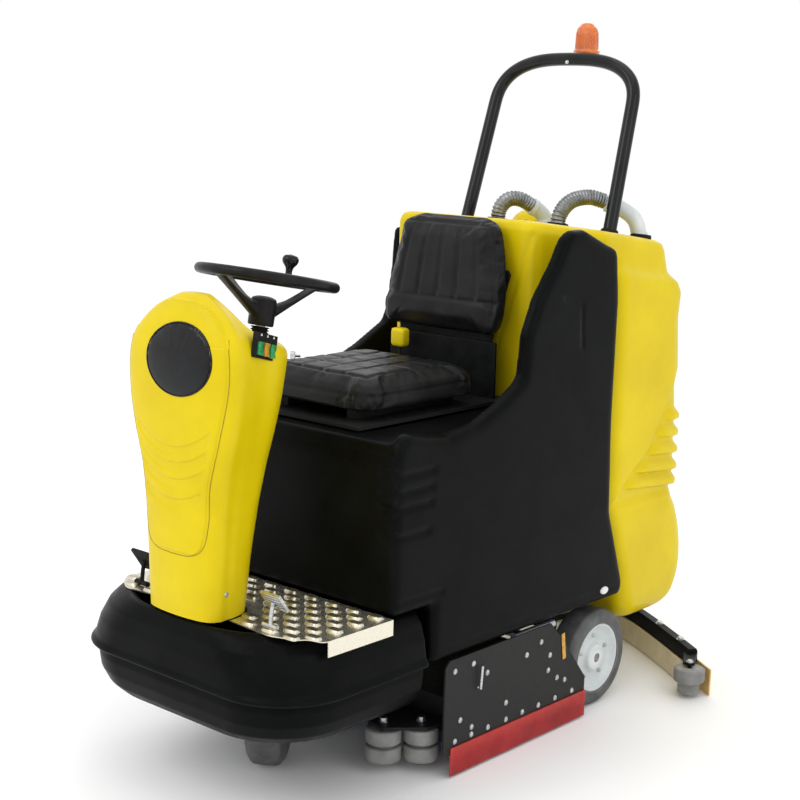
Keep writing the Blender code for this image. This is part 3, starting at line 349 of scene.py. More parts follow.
def smooth_route(points, steps=8, closed=False):
    """Points along a smooth curve through a few points."""
    points = [Vector(point) for point in points]
    if closed:
        padded = [points[-1], *points, points[0], points[1]]
    else:
        padded = [2 * points[0] - points[1], *points, 2 * points[-1] - points[-2]]
    route = []
    for a, b, c, d in zip(padded, padded[1:], padded[2:], padded[3:]):
        for step in range(steps):
            t = step / steps
            route.append(0.5 * (2 * b + (c - a) * t + (2 * a - 5 * b + 4 * c - d) * t ** 2
                + (3 * b - a - 3 * c + d) * t ** 3))
    if not closed:
        route.append(points[-1])
    return route


def tube(points, radius, sides=24, ripple=None, closed=False):
    """Round bar along points, with an optional change of radius along its length."""
    points = [Vector(point) for point in points]
    rings = []
    side = None
    run = 0.0
    for index, point in enumerate(points):
        before, after = points[max(index - 1, 0)], points[min(index + 1, len(points) - 1)]
        along = (after - before).normalized()
        run += (point - before).length
        if side is None:
            side = along.orthogonal().normalized()
        side = (side - along * side.dot(along)).normalized()
        other = along.cross(side)
        reach = radius + (ripple(run) if ripple else 0.0)
        rings.append([point + reach * (cos(tau * step / sides) * side + sin(tau * step / sides) * other)
            for step in range(sides)])
    return loft(rings)


def resampled(points, spacing):
    """Same route with even spacing."""
    route = [points[0]]
    left = spacing
    for a, b in zip(points, points[1:]):
        length = (b - a).length
        at = left
        while at <= length:
            route.append(a.lerp(b, at / length))
            at += spacing
        left = at - length
    route.append(points[-1])
    return route


def rounded_outline(half, front, rear, front_radius, rear_radius, steps=12):
    """Plan outline with round corners."""
    corners = [(half - front_radius, front + front_radius, front_radius, -90), (half - rear_radius,
        rear - rear_radius, rear_radius, 0), (-half + rear_radius, rear - rear_radius, rear_radius, 90),
        (-half + front_radius, front + front_radius, front_radius, 180)]
    outline = []
    for x, y, radius, start in corners:
        for step in range(steps + 1):
            angle = radians(start + 90 * step / steps)
            outline.append((x + radius * cos(angle), y + radius * sin(angle)))
    return outline


def slab(centre, size, turn=None):
    """Box centred on a point, turned by a matrix."""
    shape = bmesh.new()
    bmesh.ops.create_cube(shape, size=1.0)
    turn = turn or Matrix.Identity(4)
    matrix = Matrix.Translation(Vector(centre)) @ turn @ Matrix.Diagonal((*size, 1.0))
    bmesh.ops.transform(shape, matrix=matrix, verts=shape.verts)
    return shape


def prism(outline, normal, low, high):
    """Extrude a flat outline along X, Y or Z."""
    def corner(a, b, value):
        return {"X": (value, a, b), "Y": (a, value, b), "Z": (a, b, value)}[normal]

    return loft([[corner(a, b, value) for a, b in outline] for value in (low, high)])


def coords(mesh):
    """Vertex places of a mesh as an array."""
    out = np.empty(len(mesh.vertices) * 3)
    mesh.vertices.foreach_get("co", out)
    return out.reshape(-1, 3)


def normals(mesh):
    """Vertex normals of a mesh as an array."""
    out = np.empty(len(mesh.vertices) * 3)
    mesh.vertex_normals.foreach_get("vector", out)
    return out.reshape(-1, 3)


def place_points(mesh, points):
    """Write vertex places back to a mesh."""
    mesh.vertices.foreach_set("co", points.reshape(-1))
    mesh.update()


def baked(item):
    """Replace an object's mesh by the result of its modifiers."""
    bpy.context.view_layer.update()
    graph = bpy.context.evaluated_depsgraph_get()
    mesh = bpy.data.meshes.new_from_object(item.evaluated_get(graph))
    item.modifiers.clear()
    item.data = mesh
    return item


def remeshed(name, shape, voxel, rounds):
    """Object whose skin is rebuilt evenly and then smoothed."""
    item = linked(name, mesh_of(name, shape))
    even = item.modifiers.new("even", "REMESH")
    even.mode = "VOXEL"
    even.voxel_size = voxel
    calm = item.modifiers.new("calm", "SMOOTH")
    calm.factor = 0.5
    calm.iterations = rounds
    return baked(item)


def cad_copy(name):
    """Editable copy of a CAD node's mesh."""
    shape = bmesh.new()
    shape.from_mesh(NODES[name].data)
    bmesh.ops.remove_doubles(shape, verts=shape.verts, dist=1e-5)
    return shape


def line_distance(points, line):
    """Distance of 2-D points from a broken line."""
    best = np.full(len(points), 9.0)
    for a, b in zip(line, line[1:]):
        a, b = np.array(a), np.array(b)
        along = b - a
        t = np.clip(((points - a) @ along) / (along @ along), 0, 1)
        best = np.minimum(best, np.linalg.norm(points - a - t[:, None] * along, axis=1))
    return best


def ease(values, low, high):
    """Smooth step from 0 to 1 between two values."""
    t = np.clip((values - low) / (high - low), 0, 1)
    return t * t * (3 - 2 * t)


def groove(distance, width):
    """Bell curve across a groove: 1 in the middle, near 0 two widths away."""
    return np.exp(-(distance / width) ** 2)


def bolt(place, axis, radius=0.009, height=0.006):
    """Domed bolt head on a washer."""
    profile = [(0, 0), (radius * 1.25, 0), (radius * 1.25, height * 0.25), (radius, height * 0.3),
        (radius, height * 0.7), (radius * 0.75, height), (radius * 0.35, height * 1.05),
        (radius * 0.3, height * 0.75), (0, height * 0.75)]
    return lathe(profile, axis, place, 20)


# Steering column
COLUMN_LEVELS = np.array([
    (0.4515, 0.114, -0.845, 0.112, -0.8, -0.88, -0.707),
    (0.58, 0.118, -0.845, 0.115, -0.79, -0.885, -0.69),
    (0.7, 0.126, -0.845, 0.119, -0.78, -0.885, -0.665),
    (0.79, 0.138, -0.848, 0.127, -0.77, -0.887, -0.643),
    (0.87, 0.163, -0.85, 0.139, -0.758, -0.889, -0.622),
    (0.94, 0.177, -0.85, 0.146, -0.748, -0.89, -0.606),
    (1.01, 0.18, -0.85, 0.148, -0.74, -0.889, -0.592),
    (1.046, 0.177, -0.849, 0.148, -0.74, -0.887, -0.583),
    (1.06, 0.175, -0.848, 0.146, -0.742, -0.886, -0.604),
    (1.08, 0.17, -0.846, 0.14, -0.75, -0.883, -0.67),
    (1.096, 0.159, -0.842, 0.131, -0.762, -0.879, -0.725),
    (1.112, 0.144, -0.838, 0.12, -0.778, -0.874, -0.765),
    (1.138, 0.119, -0.832, 0.1, -0.792, -0.866, -0.778),
    (1.162, 0.083, -0.826, 0.07, -0.802, -0.854, -0.787),
    (1.178, 0.038, -0.82, 0.036, -0.806, -0.836, -0.796)])


def smooth_levels(levels, count, reach=2):
    """Even rows between given rows, with their kinks eased."""
    z = np.linspace(levels[0, 0], levels[-1, 0], count)
    rows = np.column_stack([np.interp(z, levels[:, 0], levels[:, k]) for k in range(levels.shape[1])])
    eased = rows.copy()
    for _ in range(reach):
        eased[1:-1, 1:] = (eased[:-2, 1:] + 2 * eased[1:-1, 1:] + eased[2:, 1:]) / 4
    return eased


def column_ring(z, wide, wide_y, narrow, narrow_y, front, rear):
    """Fine plan outline of the column."""
    depth = wide_y - front
    half = [(0.5 * wide, front + 0.1 * depth), (0.84 * wide, front + 0.38 * depth), (wide, wide_y),
        (0.55 * wide + 0.45 * narrow, 0.5 * wide_y + 0.5 * narrow_y), (narrow, narrow_y)]
    for degrees in (25, 50, 72):
        angle = radians(degrees)
        half.append((narrow * cos(angle), narrow_y + (rear - narrow_y) * sin(angle)))
    outline = [(0.0, front), *half, (0.0, rear), *[(-x, y) for x, y in reversed(half)]]
    return smooth_route([(COLUMN_X + x, y, z) for x, y in outline], 7, closed=True)


COLUMN_ROWS = smooth_levels(COLUMN_LEVELS, 150, 14)
COLUMN_RINGS = [column_ring(*row) for row in COLUMN_ROWS]
COVER_EDGE = [(0.056, 0.6), (0.09, 0.622), (0.104, 0.68), (0.112, 0.77), (0.14, 0.87), (0.161, 0.96),
    (0.165, 1.03), (0.152, 1.09), (0.122, 1.13), (0.076, 1.158)]


def column_front(x, z):
    """Y of the column's front skin."""
    row = COLUMN_RINGS[int(np.argmin(np.abs(COLUMN_ROWS[:, 0] - z)))]
    reach = 24
    front = [row[k % len(row)] for k in range(-reach, reach + 1)]
    front.sort(key=lambda point: point.x)
    return float(np.interp(x, [point.x for point in front], [point.y for point in front]))


def make_column():
    """Rear shell, raised front cover with its stepped arcs, and a darker line round the cover that paints
    the shade in the gap between cover and shell.
    """
    add("column_shell", loft(COLUMN_RINGS), "chassis", YELLOW, "column_rear_cover", 60)

    top = Vector((0.0, 1.172, 0))
    half = [Vector((0.0, 0.5965, 0)), *[Vector((x, z, 0)) for x, z in COVER_EDGE], top]
    edge = smooth_route(half, 10)
    z_edge = np.array([point.y for point in edge])
    x_edge = np.array([max(point.x, 0.0) for point in edge])
    order = np.argsort(z_edge)
    rows = np.linspace(0.601, 1.17, 230)
    table = []
    for z in rows:
        half_width = float(np.interp(z, z_edge[order], x_edge[order]))
        line = []
        for u in np.linspace(-1, 1, 91):
            x = half_width * sin(u * pi / 2)
            margin = min(half_width - abs(x), (z - 0.598) * 0.9, (1.172 - z) * 1.2)
            lift = -0.0035 + 0.0062 * float(ease(np.array(margin), -0.0005, 0.007))
            step = 0.0
            for level, reach in ((0.842, 0.128), (0.806, 0.12), (0.768, 0.106), (0.722, 0.098)):
                arc = level + 3.2 * x * x
                fade = float(1 - ease(np.array(abs(x)), reach * 0.8, reach))
                below = float(ease(np.array(arc - z), -0.003, 0.003))
                back = float(1 - ease(np.array(arc - z), 0.004, 0.032))
                step += 0.0062 * fade * below * back
            line.append((COLUMN_X + x, column_front(COLUMN_X + x, z) - lift + step, z))
        table.append(line)
    add("column_cover", grid(table), "chassis", YELLOW, "column_front_cover", 60)
    # Thin darker tube along the cover's edge: painted shade in the gap between cover and shell.
    shade_path = []
    for point in resampled([point for point in edge if 0.02 < point.y < 1.095], 0.006):
        shade_path.append((point.x + 0.0012, point.y))
    shade_path = [*[(-x, z) for x, z in reversed(shade_path)], *shade_path]
    path = [Vector((COLUMN_X + x, column_front(COLUMN_X + x, z) - 0.0002, z)) for x, z in shade_path]
    add("cover_seam_shade", tube(path, 0.0009, 8), "chassis", SEAM_SHADE)


def make_badge():
    """Plain oval badge that follows the cover, and a screw low on the side."""
    badge = Vector((BADGE_X, 0.0, 1.04))
    rows = []
    for reach, lift in ((0.02, 0.0052), (0.25, 0.0052), (0.5, 0.0052), (0.75, 0.005), (0.9, 0.0046),
            (0.945, 0.004), (0.95, 0.0028), (0.965, 0.0028), (0.97, 0.0048), (0.99, 0.0048), (1.0, 0.003),
            (1.003, -0.004)):
        ring = []
        for a in np.linspace(0, tau, 120, endpoint=False):
            x, z = badge.x + BADGE_WIDE * reach * cos(a), badge.z + BADGE_TALL * reach * sin(a)
            ring.append((x, column_front(x, z) - lift, z))
        rows.append(ring)
    add("badge_plate", loft(rows), "chassis", BLACK_GLOSS, sharp=50)
    add("column_screw", bolt((COLUMN_X + 0.1145, -0.826, 0.512), (1, -0.15, 0), 0.0055, 0.004), "chassis",
        STEEL)


def make_switches():
    """Rocker caps and the plain marks above them."""
    turn = Matrix.Rotation(radians(19), 4, "Z") @ Matrix.Rotation(radians(-14), 4, "X")
    centre = Vector((0.157, -0.748, 1.07))
    for place in range(3):
        middle = centre + turn @ Vector((0.0053, (place - 1) * SWITCH_PITCH, 0.0225))
        rings = []
        for depth in (0.0, 0.0008):
            rings.append([middle + turn @ Vector((depth, MARK_REACH * cos(a), MARK_REACH * sin(a)))
                for a in (pi / 2, pi * 7 / 6, pi * 11 / 6)])
        add(f"panel_mark_{place}", loft(rings), "chassis", WHITE)
    for place, (name, look) in enumerate((("front", GREEN), ("middle", ORANGE), ("rear", GREEN))):
        middle = centre + turn @ Vector((0.007, (place - 1) * SWITCH_PITCH, -0.007))
        rings = []
        for t in np.linspace(-1, 1, 13):
            swell = 0.0035 - 0.0022 * cos(t * pi / 2) - 0.0008 * t
            ring = []
            for y, deep in ((-0.0104, -0.0034), (0.0104, -0.0034), (0.0104, swell - 0.0006), (0.0096, swell),
                    (-0.0096, swell), (-0.0104, swell - 0.0006)):
                ring.append(middle + turn @ Vector((deep, y, t * 0.0147)))
            rings.append(ring)
        add(f"switch_cap_{name}", loft(rings), f"switch_{name}", look, f"rocker_{name}", 40, 0.0004)


def make_boot_and_key():
    """Bellows under the steering wheel and the key switch."""
    folds = [(0.0127, -0.142)]
    for step in range(60):
        t = step / 59
        folds.append((0.0198 + 0.0022 * sin(t * tau * 4.5), -0.1415 + 0.0275 * t))
    folds.append((0.0127, -0.1137))
    add("steering_boot", lathe(folds, STEERING_AXIS, STEERING_CENTRE, 48, True), "chassis", RUBBER,
        "column_boot", 60)
    axis = Vector((1, 1, 0)).normalized()
    place = Vector((0.094, -0.628, 1.03)) + axis * 0.016
    body = rounded_profile([(0, 0), (0.011, 0), (0.011, 0.009), (0.0085, 0.011), (0, 0.011)], 0.001)
    blade = slab(place + axis * 0.0165, (0.003, 0.0145, 0.013),
        aimed(axis, (0, 0, 0)).to_3x3().to_4x4() @ Matrix.Rotation(radians(20), 4, "Z"))
    add("key_barrel", merged(lathe(body, axis, place, 40), blade), "key", STEEL, "key_switch", 35, 0.0006)


def make_steering():
    """Wheel, knob and their shaft."""
    place = aimed(STEERING_AXIS, STEERING_CENTRE)
    parts = []
    ring = [(RIM_RADIUS + 0.0125 * cos(a), 0.0125 * sin(a)) for a in np.linspace(0, tau, 18, endpoint=False)]
    parts.append(lathe(ring, STEERING_AXIS, STEERING_CENTRE, 144, True))
    hub = [(0, -0.112), (0.0305, -0.112), (0.031, -0.062), (0.03, -0.05), (0.024, -0.045), (0, -0.0443)]
    parts.append(lathe(rounded_profile(hub, 0.003), STEERING_AXIS, STEERING_CENTRE, 64))
    for degrees in (-90, 0, 90):
        turn = Matrix.Rotation(radians(87.5 + degrees + 90), 4, "Z")
        rings = []
        rows = smooth_levels(np.array([(0.016, -0.083, 0.016, 0.018), (0.075, -0.052, 0.0155, 0.008),
            (0.12, -0.024, 0.016, 0.006), (0.154, -0.002, 0.019, 0.0055)]), 24, 3)
        for reach, height, width, thick in rows:
            rings.append([place @ turn @ Vector((reach, width * copysign(abs(cos(a)) ** 0.6, cos(a)),
                height + thick * sin(a))) for a in np.linspace(0, tau, 24, endpoint=False)])
        parts.append(loft(rings))
    wheel = remeshed("steering_rim", merged(*parts), 0.0022, 6)
    dress(wheel, "steering", BLACK_SOFT, "steering_wheel", 60)
    cap = [(0, 0.0022), (0.012, 0.0018), (0.019, 0.0006), (0.02, -0.0006), (0, -0.0006)]
    add("steering_cap", lathe(cap, STEERING_AXIS, place @ Vector((0, 0, -0.0445)), 48), "steering",
        BLACK_GLOSS)
    angle = radians(118)
    foot = place @ Vector((RIM_RADIUS * cos(angle), RIM_RADIUS * sin(angle), 0.013))
    knob = rounded_profile([(0, 0), (0.01, 0), (0.0078, 0.01), (0.009, 0.022), (0.0185, 0.033),
        (0.021, 0.043), (0.0165, 0.052), (0, 0.0555)], 0.006, 5)
    add("steering_spinner", lathe(knob, STEERING_AXIS, foot, 48), "spinner", BLACK_GLOSS, "steering_knob",
        60)


# Front base
def make_base():
    """Front moulding and bumper."""
    def ring(z, half, front, radius, rear=-0.42):
        return [(x, y, z) for x, y in rounded_outline(half, front, rear, radius, 0.012, 14)]

    levels = np.array([(0.3025, 0.372, -0.889, 0.185), (0.306, 0.3855, -0.9005, 0.182),
        (0.312, 0.388, -0.9027, 0.18), (0.319, 0.385, -0.901, 0.182), (0.326, 0.3785, -0.8985, 0.185),
        (0.37, 0.372, -0.896, 0.2), (0.41, 0.36, -0.89, 0.22), (0.433, 0.341, -0.882, 0.23),
        (0.4445, 0.316, -0.875, 0.222), (0.4465, 0.306, -0.868, 0.216)])
    rings = [ring(*row) for row in smooth_levels(levels, 60, 1)]
    levels = ((0.44, 0.3, -0.862, 0.21), (0.41, 0.352, -0.882, 0.212), (0.3025, 0.366, -0.883, 0.18))
    inner = []
    for z, half, front, radius in levels:
        inner.append(ring(z, half - 0.008, front + 0.008, radius - 0.006, -0.421))
    add("front_moulding", loft([*inner[::-1][:1], *rings, *inner]), "chassis", BLACK, "front_base_shell", 50)
    levels = np.array([(0.19, 0.303, -0.833, 0.18), (0.1935, 0.318, -0.848, 0.18), (0.2, 0.33, -0.858, 0.18),
        (0.22, 0.351, -0.876, 0.18), (0.252, 0.367, -0.887, 0.18), (0.285, 0.371, -0.891, 0.182),
        (0.3012, 0.368, -0.888, 0.184)])
    rings = [ring(*row) for row in smooth_levels(levels, 44, 1)]
    levels = ((0.299, 0.36, -0.88, 0.172), (0.22, 0.342, -0.867, 0.17), (0.192, 0.296, -0.826, 0.17))
    inner = [ring(*row, -0.421) for row in levels]
    add("front_fender", loft([*rings, *inner], caps=False), "chassis", BLACK, "front_bumper", 50)


def make_tread_plate():
    """Step plate with raised buttons, cut out round the column."""
    front = [(0.3772, -0.5456), (0.3772, -0.757), (0.368, -0.77), (0.338, -0.78), (0.318, -0.8),
        (0.285, -0.812), (0.255, -0.8215), (0.19, -0.82), (0.14, -0.816)]
    left = smooth_route([(x, y, 0) for x, y in front[1:]], 5)
    rear_right = [(-0.15, -0.816), (-0.2, -0.821), (-0.232, -0.8215), (-0.262, -0.806), (-0.28, -0.79),
        (-0.298, -0.77), (-0.2995, -0.757)]
    right = smooth_route([(x, y, 0) for x, y in rear_right], 5)
    opening = [(0.1225, -0.815), (0.1225, -0.79)]
    for degrees in range(0, 181, 12):
        angle = radians(degrees)
        opening.append((0.1225 * cos(angle), -0.795 + 0.0945 * sin(angle)))
    opening += [(-0.1225, -0.79), (-0.1225, -0.815)]
    outline = [(0.3772, -0.5456), *[(p.x, p.y) for p in left], *opening, *[(p.x, p.y) for p in right],
        (-0.2995, -0.5456)]
    plate = prism(outline, "Z", 0.447, 0.4493)
    flange = slab((0.3762, -0.6513, 0.4305), (0.0022, 0.211, 0.037))
    buttons = []
    for row in range(8):
        y = -0.565 - 0.0335 * row
        for column in range(-5, 7):
            x = 0.068 * column + (0.034 if row % 2 else 0.0)
            inside = -0.288 < x < 0.364
            near_column = hypot(x / 0.14, (y + 0.795) / 0.112) < 1.0 or (abs(x) < 0.14 and y < -0.79)
            corner = y < -0.775 and (x > 0.315 or x < -0.272)
            if not inside or near_column or corner or y < -0.812:
                continue
            rings = []
            for z, half_long, half_wide in ((0.4488, 0.0205, 0.013), (0.453, 0.019, 0.0115),
                    (0.4552, 0.0172, 0.0098), (0.4556, 0.015, 0.008)):
                plan = rounded_box_ring(16, half_long, half_wide, 0.55)
                rings.append([(x + a, y + b, z) for a, b in plan])
            buttons.append(loft(rings))
    add("tread_plate", merged(plate, flange, *buttons), "chassis", PLATE, "step_plate", 30)


# Wheels
def wheel_profiles():
    """Sections of the rear tyre and rim."""
    tyre = rounded_profile([(0.095, -0.0385), (0.104, -0.0398), (0.1205, -0.0398), (0.133, -0.029),
        (0.1334, 0.0), (0.133, 0.029), (0.1205, 0.0398), (0.104, 0.0398), (0.095, 0.0385)], 0.006, 5)
    rim = rounded_profile([(0.013, -0.0355), (0.034, -0.0355), (0.036, -0.004), (0.078, -0.004),
        (0.086, -0.0355), (0.0944, -0.036), (0.0944, 0.0365), (0.0895, 0.0368), (0.0855, 0.031),
        (0.08, 0.024), (0.074, 0.02), (0.046, 0.018), (0.04, 0.022), (0.036, 0.033), (0.03, 0.0358),
        (0.013, 0.0358)], 0.003, 3)
    return tyre, rim


def make_rear_wheels():
    """Tyres, rims and wheel bolts."""
    tyre, rim = wheel_profiles()
    for side, sign in SIDES:
        centre = (sign * 0.317, REAR_Y, WHEEL_Z)
        add(f"wheel_tyre_{side}", lathe(tyre, (sign, 0, 0), centre, 96, True), f"rear_wheel_{side}", TYRE,
            f"rear_tyre_{side}", 50)
        add(f"wheel_rim_{side}", lathe(rim, (sign, 0, 0), centre, 96, True), f"rear_wheel_{side}", PALE,
            f"rear_rim_{side}", 50)
        heads = [bolt(Vector(centre) + Vector((sign * 0.0195, 0.06 * cos(a), 0.06 * sin(a))), (sign, 0, 0),
            0.005, 0.005) for a in np.linspace(0.3, 0.3 + tau, 6)[:-1]]
        add(f"wheel_bolts_{side}", merged(*heads), f"rear_wheel_{side}", STEEL)


def make_drive_wheel():
    """Steered wheel and its motor."""
    axle = Matrix.Rotation(FORK_TURN, 3, "Z") @ Vector((1, 0, 0))
    centre = Vector((*FORK_XY, WHEEL_Z))
    profile = rounded_profile([(0.0757, -0.041), (0.085, -0.0423), (0.118, -0.0423), (0.1325, -0.031),
        (0.1334, 0.0), (0.1325, 0.031), (0.118, 0.0423), (0.085, 0.0423), (0.0757, 0.041)], 0.007, 5)

    def tread(angle, radius, height):
        if radius < 0.125:
            return 0.0
        return -0.0022 * (0.5 + 0.5 * cos(angle * 30 + 200 * abs(height))) ** 4

    add("drive_tyre", lathe(profile, axle, centre, 240, True, tread), "front_wheel", TYRE, "front_tyre", 60)
    hub = rounded_profile([(0, -0.063), (0.01, -0.063), (0.01, -0.0465), (0.046, -0.0465), (0.052, -0.038),
        (0.068, -0.03), (0.0751, -0.036), (0.0751, 0.036), (0.068, 0.03), (0.052, 0.038), (0.046, 0.0465),
        (0.01, 0.0465), (0.01, 0.063), (0, 0.063)], 0.002)
    add("drive_hub", lathe(hub, axle, centre, 72), "front_wheel", PALE, "front_hub", 50)
    motor = rounded_profile([(0, 0.2839), (0.062, 0.2839), (0.062, 0.3), (0.0878, 0.3002), (0.0878, 0.3078),
        (0.06, 0.308), (0.06, 0.318), (0.0575, 0.32), (0.0575, 0.4), (0.06, 0.402), (0.06, 0.414),
        (0.05, 0.4248), (0, 0.4248)], 0.002)

    def fins(angle, radius, height):
        return -0.0016 * max(0.0, cos(angle * 28)) if 0.319 < height < 0.401 else 0.0

    add("drive_motor_case", lathe(motor, UP, (*FORK_XY, 0.0), 168, False, fins), "fork", BLACK_STEEL,
        "drive_motor", 40)


# Tanks
def tank_top(y):
    """Height of the recovery tank's sloping top."""
    return 1.322 - TANK_SLOPE * (y - 0.1)


TANK_LEVELS = np.array([
    (0.186, 0.275, 0.515, 0.645), (0.191, 0.305, 0.49, 0.68), (0.2, 0.327, 0.47, 0.708),
    (0.235, 0.352, 0.447, 0.742), (0.29, 0.36, 0.425, 0.758), (0.33, TANK_HALF, 0.414, 0.763),
    (0.38, TANK_HALF, 0.396, 0.761), (0.44, TANK_HALF, 0.374, 0.748), (0.505, TANK_HALF, 0.35, 0.72),
    (0.535, 0.356, 0.34, 0.699), (0.58, TANK_HALF, 0.334, 0.714), (0.78, TANK_HALF, 0.332, 0.712),
    (0.9, TANK_HALF, 0.332, 0.699), (1.04, TANK_HALF, 0.332, 0.685)])
TANK_SHOULDERS = [
    (0.135, TANK_HALF, 0.332, 0.675), (0.108, 0.356, 0.334, 0.664), (0.092, 0.34, 0.338, 0.648),
    (0.085, 0.335, 0.34, 0.641), (0.03, 0.327, 0.344, 0.634), (0.01, 0.322, 0.348, 0.628),
    (0.001, 0.306, 0.362, 0.614)]
TANK_TOP_AXIS = Vector((0, TANK_SLOPE, 1)).normalized()
NECK = [(0.196, 0.115), (0.226, 0.122), (0.244, 0.142), (0.3, 0.245), (0.328, 0.31), (0.328, 0.45)]
CREASE = [(0.628, 0.862), (0.57, 0.768), (0.508, 0.686), (0.397, 0.606), (0.342, 0.532)]


def make_tank():
    """Yellow recovery tank with its ribs and creases."""
    rings = []
    for z, half, front, rear in smooth_levels(TANK_LEVELS, 90, 2):
        rings.append([(x, y, z) for x, y in rounded_outline(half, front, rear, 0.045, 0.085, 12)])
    for drop, half, front, rear in TANK_SHOULDERS:
        outline = rounded_outline(half, front, rear, 0.045, 0.06, 12)
        rings.append([(x, y, tank_top(y) - drop) for x, y in outline])
    neck = []
    for level, shrink in ((0.602, 0.014), (0.622, 0.0), (None, 0.0), (-0.008, 0.006), (0.0, 0.02)):
        ring = []
        half = [(x - shrink, y + shrink if y < 0.4 else y) for x, y in NECK]
        for x, y in [*half, *[(-x, y) for x, y in reversed(half)]]:
            top = tank_top(y) - 0.001
            z = top - 0.026 if level is None else (top + level if level <= 0 else level)
            ring.append((x, y, z))
        neck.append(ring)
    tank = remeshed("tank_shell", merged(loft(rings), loft(neck)), 0.0055, 5)
    points, facing = coords(tank.data), normals(tank.data)
    x, y, z = points.T
    move = np.zeros(len(points))
    crease_y = np.interp(z, [p[1] for p in reversed(CREASE)], [p[0] for p in reversed(CREASE)])
    behind = ease(y - crease_y, -0.004, 0.016) * ease(z, 0.535, 0.56) * ease(0.905 - z, 0.0, 0.06)
    corner = ease(y - crease_y, 0.01, 0.06) * (np.abs(x) > 0.19)
    move -= 0.01 * behind * (np.abs(x) > 0.19)
    for level in (0.76, 0.713, 0.664, 0.616, 0.573):
        fall = z - level + 0.1 * (y - 0.7)
        move += 0.015 * ease(fall, -0.017, -0.007) * (1 - ease(fall, 0.0, 0.026)) * behind * corner
    panel = ease(0.3 - np.abs(x), 0, 0.012) * ease(z - 0.72, 0, 0.012) * ease(1.08 - z, 0, 0.012) * (y > 0.6)
    move += -0.0045 * panel
    front_wall = (y < 0.36) & (z > 0.9)
    crease = line_distance(np.column_stack([x, z]), [(0.225, 1.28), (0.15, 1.05), (0.12, 0.95)])
    move += -0.004 * groove(crease, 0.007) * front_wall
    place_points(tank.data, points + facing * move[:, None])
    dress(tank, "chassis", YELLOW, "recovery_tank", 60)


def make_lid():
    """Domed lid with finger lugs."""
    centre = Vector((-0.09, 0.555, tank_top(0.555)))
    dome = rounded_profile([(0.049, -0.01), (0.0535, -0.0095), (0.0535, 0.0012), (0.0718, 0.0012),
        (0.0718, 0.01), (0.066, 0.022), (0.06, 0.033), (0.045, 0.046), (0.02, 0.054), (0, 0.0558)], 0.004, 4)
    dome = [(0, -0.01), *dome]

    def lugs(angle, radius, height):
        return -0.0028 * max(0.0, cos(angle * 14)) ** 3 if 0.06 < radius and height < 0.02 else 0.0

    add("tank_lid", lathe(dome, TANK_TOP_AXIS, centre, 168, False, lugs), "lid", YELLOW, "recovery_lid", 50)


def make_hoses():
    """Ribbed suction hoses, pale elbows and the collars at both ends."""
    def ribs(run):
        return -0.0015 + 0.0015 * sin(run * tau / 0.0085)

    hoses = {
        "left": [(0.142, 0.345, 1.262), (0.142, 0.352, 1.318), (0.15, 0.39, 1.355), (0.172, 0.442, 1.366),
                 (0.194, 0.481, 1.356)],
        "right": [(-0.052, 0.33, 1.262), (-0.05, 0.336, 1.322), (-0.04, 0.362, 1.35), (-0.024, 0.396, 1.35),
                  (-0.01, 0.424, 1.334)]}
    elbows = {
        "left": [(0.1985, 0.4878, 1.351), (0.226, 0.514, 1.338), (0.262, 0.536, 1.306),
                 (0.277, 0.545, 1.245)],
        "right": [(-0.008, 0.4275, 1.3315), (0.004, 0.446, 1.318), (0.012, 0.458, 1.3),
                  (0.016, 0.462, 1.2665)]}
    for side in hoses:
        route = resampled(smooth_route(hoses[side], 24), 0.0012)
        add(f"suction_pipe_{side}", tube(route, 0.0215, 32, ribs), "chassis", HOSE, f"suction_hose_{side}",
            70)
        route = resampled(smooth_route(elbows[side], 16), 0.003)
        length = 0.003 * (len(route) - 1)

        def collar(run, end=length):
            return 0.0 if run < 0.012 or run > end - 0.03 else -0.0024

        add(f"pipe_elbow_{side}", tube(route, 0.024, 40, collar), "chassis", PALE, f"hose_elbow_{side}", 40)
        for index, (x, y, _) in enumerate((hoses[side][0], elbows[side][-1])):
            level = tank_top(y) + (0.002 if index == 0 else 0.001)
            ring = rounded_profile([(0.0245, -0.006), (0.029, -0.006), (0.029, 0.004), (0.0275, 0.008),
                (0.0245, 0.008)], 0.002)
            add(f"pipe_base_{side}_{index}", lathe(ring, TANK_TOP_AXIS, (x, y, level), 56, True), "chassis",
                RUBBER)


def make_body():
    """Black body moulding with its grooves and edges."""
    body = remeshed("body_shell", cad_copy("solution_tank"), 0.007, 7)
    points, facing = coords(body.data), normals(body.data)
    x, y, z = points.T
    move = np.zeros(len(points))
    fore = (facing[:, 1] < -0.2) & (y < -0.53)
    outer = (facing[:, 0] > 0.2) & (x > 0.36) | fore
    far_outer = (np.abs(facing[:, 0]) > 0.2) & (x < -0.36) | fore
    end = -0.395 - 0.1 * (0.8 - z)
    near = ease(x, 0.315, 0.335) * ease(end - y, 0.0, 0.02)
    far = ease(-x, 0.315, 0.335) * ease(end - y, 0.0, 0.02)
    for level in (0.778, 0.74, 0.702, 0.636):
        cut = 0.006 * groove(z - level, 0.0065)
        move -= cut * near * outer + cut * far * far_outer
    side = (np.abs(x) > 0.368) & (np.abs(facing[:, 0]) > 0.5)
    yz = np.column_stack([y, z])
    lines = ((((-0.545, 0.48), (-0.37, 0.48)), 0.0035, 0.005),
             (((0.072, 1.136), (0.147, 1.113), (0.155, 1.008)), 0.003, 0.005),
             (((-0.5, 0.33), (0.375, 0.33)), 0.002, 0.004))
    for line, depth, width in lines:
        move -= depth * groove(line_distance(yz, line), width) * side
    place_points(body.data, points + facing * move[:, None])
    dress(body, "chassis", BLACK, "solution_tank", 60)


